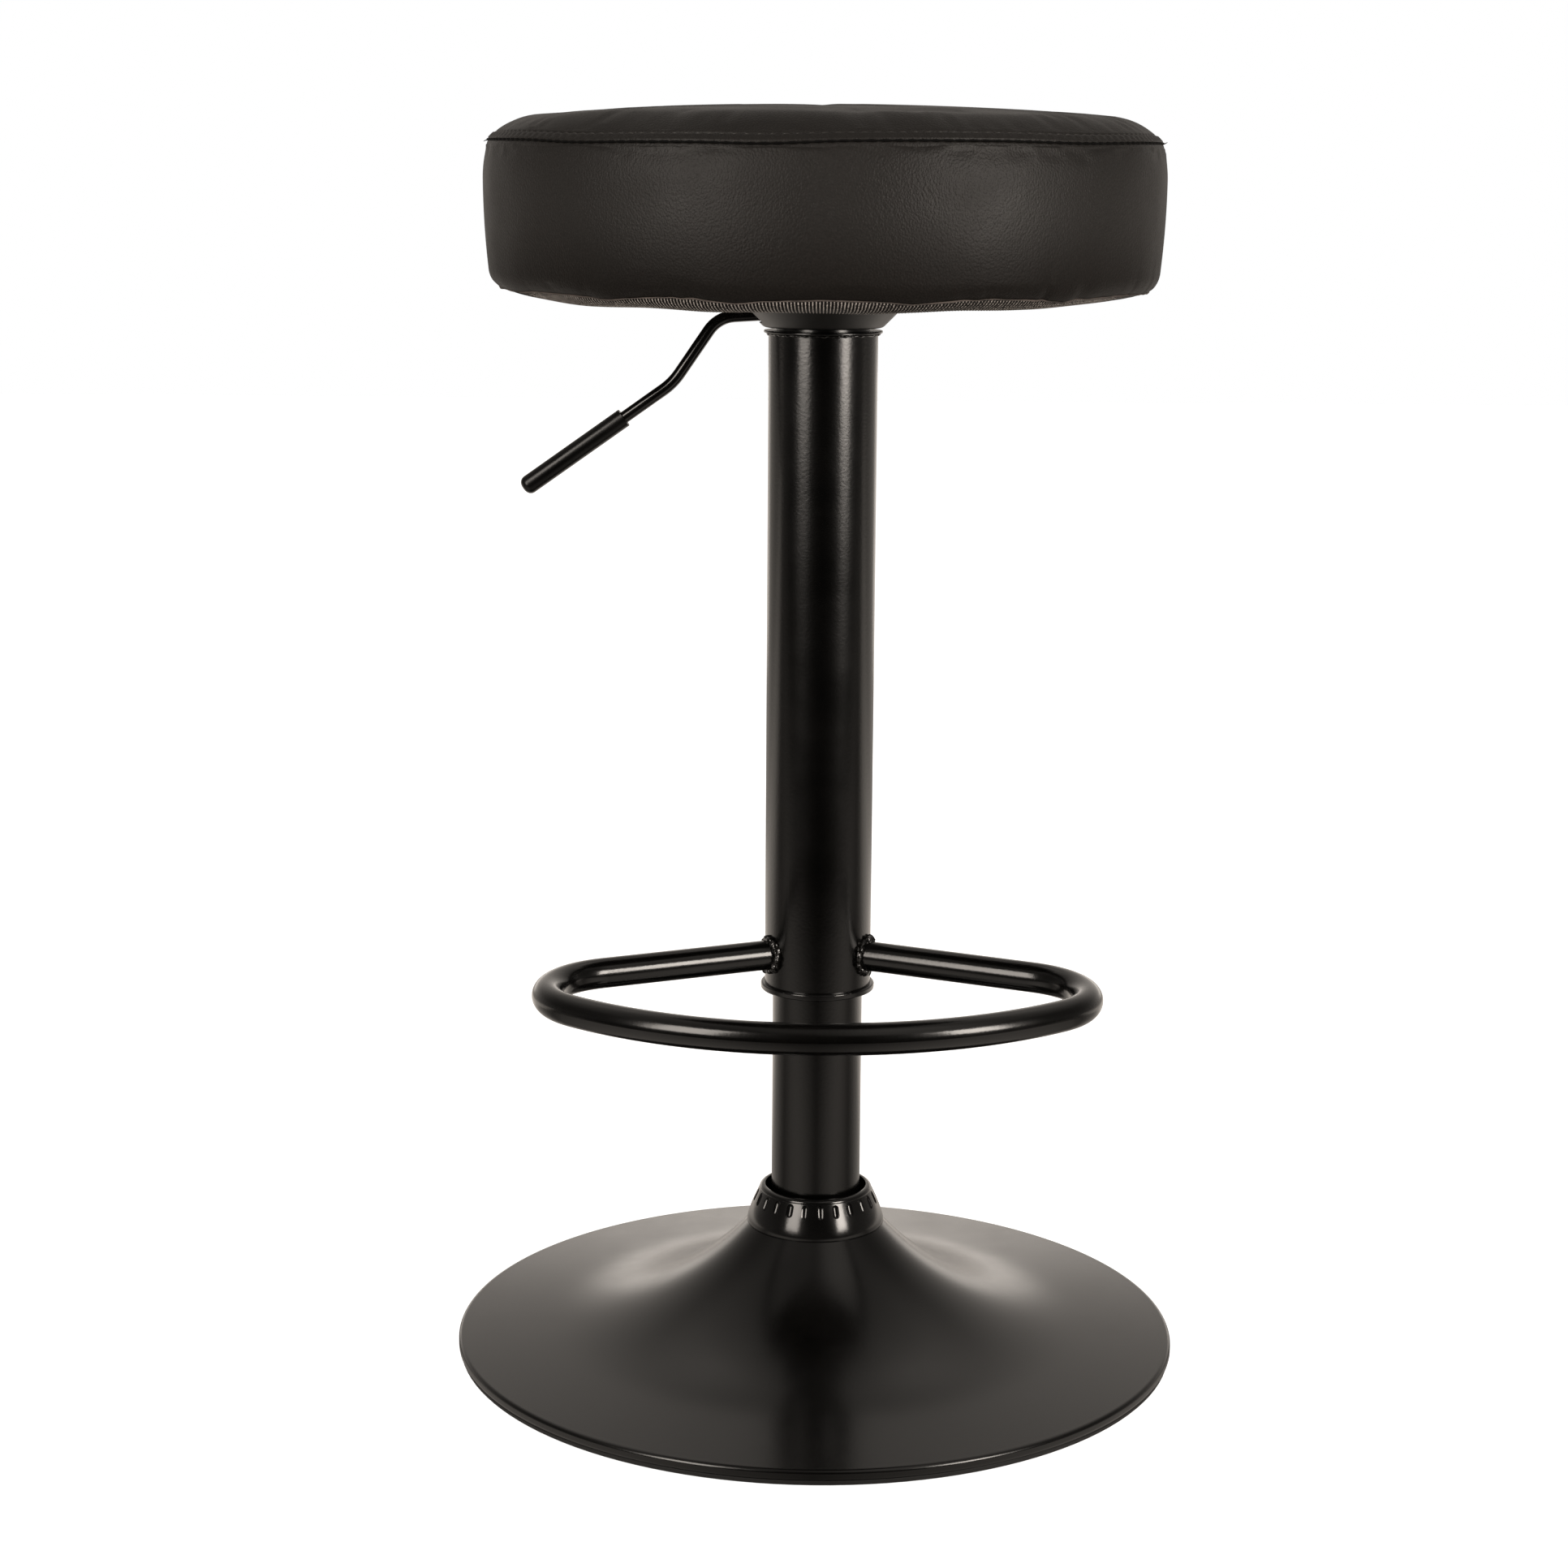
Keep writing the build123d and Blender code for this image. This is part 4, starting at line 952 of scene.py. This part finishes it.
# Dust cover
# A disc of ribbed woven lining, cut out round the seat plate. Its edge is turned in, hangs as a loose roll
# under the hem and is stapled through it.
ribs = 620
rib_columns = 4 * ribs
rib_theta = np.linspace(-np.pi, np.pi, rib_columns, endpoint=False)
roll = np.array(
    [
        (172.4, 595.9),
        (172.2, 594.8),
        (171.2, 593.4),
        (169.4, 592.1),
        (166.8, 591.0),
        (163.6, 590.2),
        (160.2, 589.8),
        (157.0, 589.8),
        (154.0, 590.3),
        (151.0, 591.2),
        (148.0, 592.3),
        (143.0, 592.7),
        (110.0, 592.8),
        (76.5, 592.9),
    ]
)
roll_depth = np.array([0.3, 0.6, 0.8, 1, 1, 1, 1, 1, 0.8, 0.5, 0.2, 0, 0, 0])
# How much higher or lower the roll hangs round the seat, in millimetres.
hang = 0.75 * bumps(
    rib_theta,
    (
        (-85, 33, 4.3),
        (-48, 8, -0.9),
        (-33, 7, 0.8),
        (-20, 5, -0.5),
        (8, 7, -0.7),
        (24, 6, 0.6),
        (40, 8, -0.6),
        (80, 42, 4.3),
        (140, 14, 0.9),
        (-140, 14, 0.8),
    ),
)
# The ribs are a cosine round the seat, slanted where the cloth was pulled, and nearly flat inside
# the roll.
rib_relief = 0.38
slant = 2.2 * window(np.degrees(rib_theta), 6.0, 150.0, 14.0) + 0.35 * np.sin(5 * rib_theta)
slant_step = 0.55 * np.arange(len(roll))[:, None]
rib_phase = ribs * rib_theta + slant * slant_step
rib_height = rib_relief * np.cos(rib_phase) * (0.15 + 0.85 * roll_depth[:, None])
roll_normal = np.gradient(roll, axis=0)
roll_normal = roll_normal / np.linalg.norm(roll_normal, axis=1, keepdims=True)
roll_normal = np.stack([-roll_normal[:, 1], roll_normal[:, 0]], axis=1)
lining_radius = roll[:, :1] + rib_height * roll_normal[:, :1]
lining_height = roll[:, 1:] + rib_height * roll_normal[:, 1:] + roll_depth[:, None] * hang
# Painted light for the lining's colour: the rib crests are painted pale as a sheen, and on the left and
# right, where the roll lies in shade, they are painted dark.
rib_side_shade = 0.2 + 0.8 * window(np.abs(np.cos(rib_theta)), 0.42, 2.0, 0.3)
rib_sheen_and_shade = ((0.5 + 0.5 * np.cos(rib_phase)) ** 1.6 * rib_side_shade).ravel()
lining_points = turned_grid(lining_radius, lining_height, rib_theta)

woven_lining = bpy.data.materials.new("woven_lining")
tree = new_tree(woven_lining)
place = add(tree, "TexCoord").outputs["Object"]
weave = add(tree, "TexNoise", {"Vector": place, "Scale": 1500.0, "Detail": 2.0}).outputs["Fac"]
# The ribs' painted sheen and shade, broken up by the weave, run the lining's colour from near black to pale.
crest_sheen = add(tree, "Attribute", attribute_name="rib_sheen_and_shade").outputs["Fac"]
painted_rib_sheen = combine(tree, "MULTIPLY", crest_sheen, weave)
bump = add(tree, "Bump", {"Height": weave, "Strength": 0.7, "Distance": 0.0003})
shader = add(
    tree,
    "BsdfPrincipled",
    {
        "Base Color": ramp(tree, painted_rib_sheen, (0.22, (0.006, 0.005, 0.0045)), (0.7, (0.66, 0.6, 0.55))),
        "Roughness": 0.7,
        "Specular IOR Level": 0.15,
        "Normal": bump.outputs[0],
    },
)
add(tree, "OutputMaterial", {"Surface": shader.outputs[0]})

lining = make_piece(
    "dust_cover_lining",
    lining_points,
    grid_faces(len(roll), rib_columns),
    woven_lining,
    "seat_post",
)
crest_values = lining.data.attributes.new("rib_sheen_and_shade", "FLOAT", "POINT").data
crest_values.foreach_set("value", rib_sheen_and_shade.astype(np.float32))
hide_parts("dust_cover")

# Staples
# Bent steel wire, shot through the lining and the hem into the board all round.
staple_count, staple_sides = 36, 6
staple_turn = (2 * np.pi / staple_count * (np.arange(staple_count) + 0.5))[:, None, None]
staple_radius, staple_low, staple_leg, staple_half, staple_wire = 144.0, 592.2, 1.2, 4.5, 0.45
staple_path = np.array([(-1, 1), (-1, 0.15), (-0.9, 0), (0, 0), (0.9, 0), (1, 0.15), (1, 1)])
staple_side = np.array([(-1, 0), (-1, 0), (-0.7, -0.7), (0, -1), (0.7, -0.7), (1, 0), (1, 0)])
staple_around = np.linspace(0, 2 * np.pi, staple_sides, endpoint=False)[:, None]
staple_out, staple_level = directions(staple_turn)
# Each staple is a tube along a path of two legs and a crown, in the plane across the radius.
staple_ring = staple_wire * staple_side[:, :, None, None] * np.cos(staple_around)
staple_points = (
    staple_out * (staple_radius + staple_wire * np.sin(staple_around))
    + staple_level * (staple_half * staple_path[:, 0, None, None] + staple_ring[:, 0])
    + upward * (staple_low + staple_leg * staple_path[:, 1, None, None] + staple_ring[:, 1])
) * millimetre
one_staple = grid_faces(len(staple_path), staple_sides)
staple_faces = repeat_faces(one_staple, staple_count, len(staple_path) * staple_sides)
make_piece("dust_cover_staples", staple_points, staple_faces, plain_steel, "seat_post")
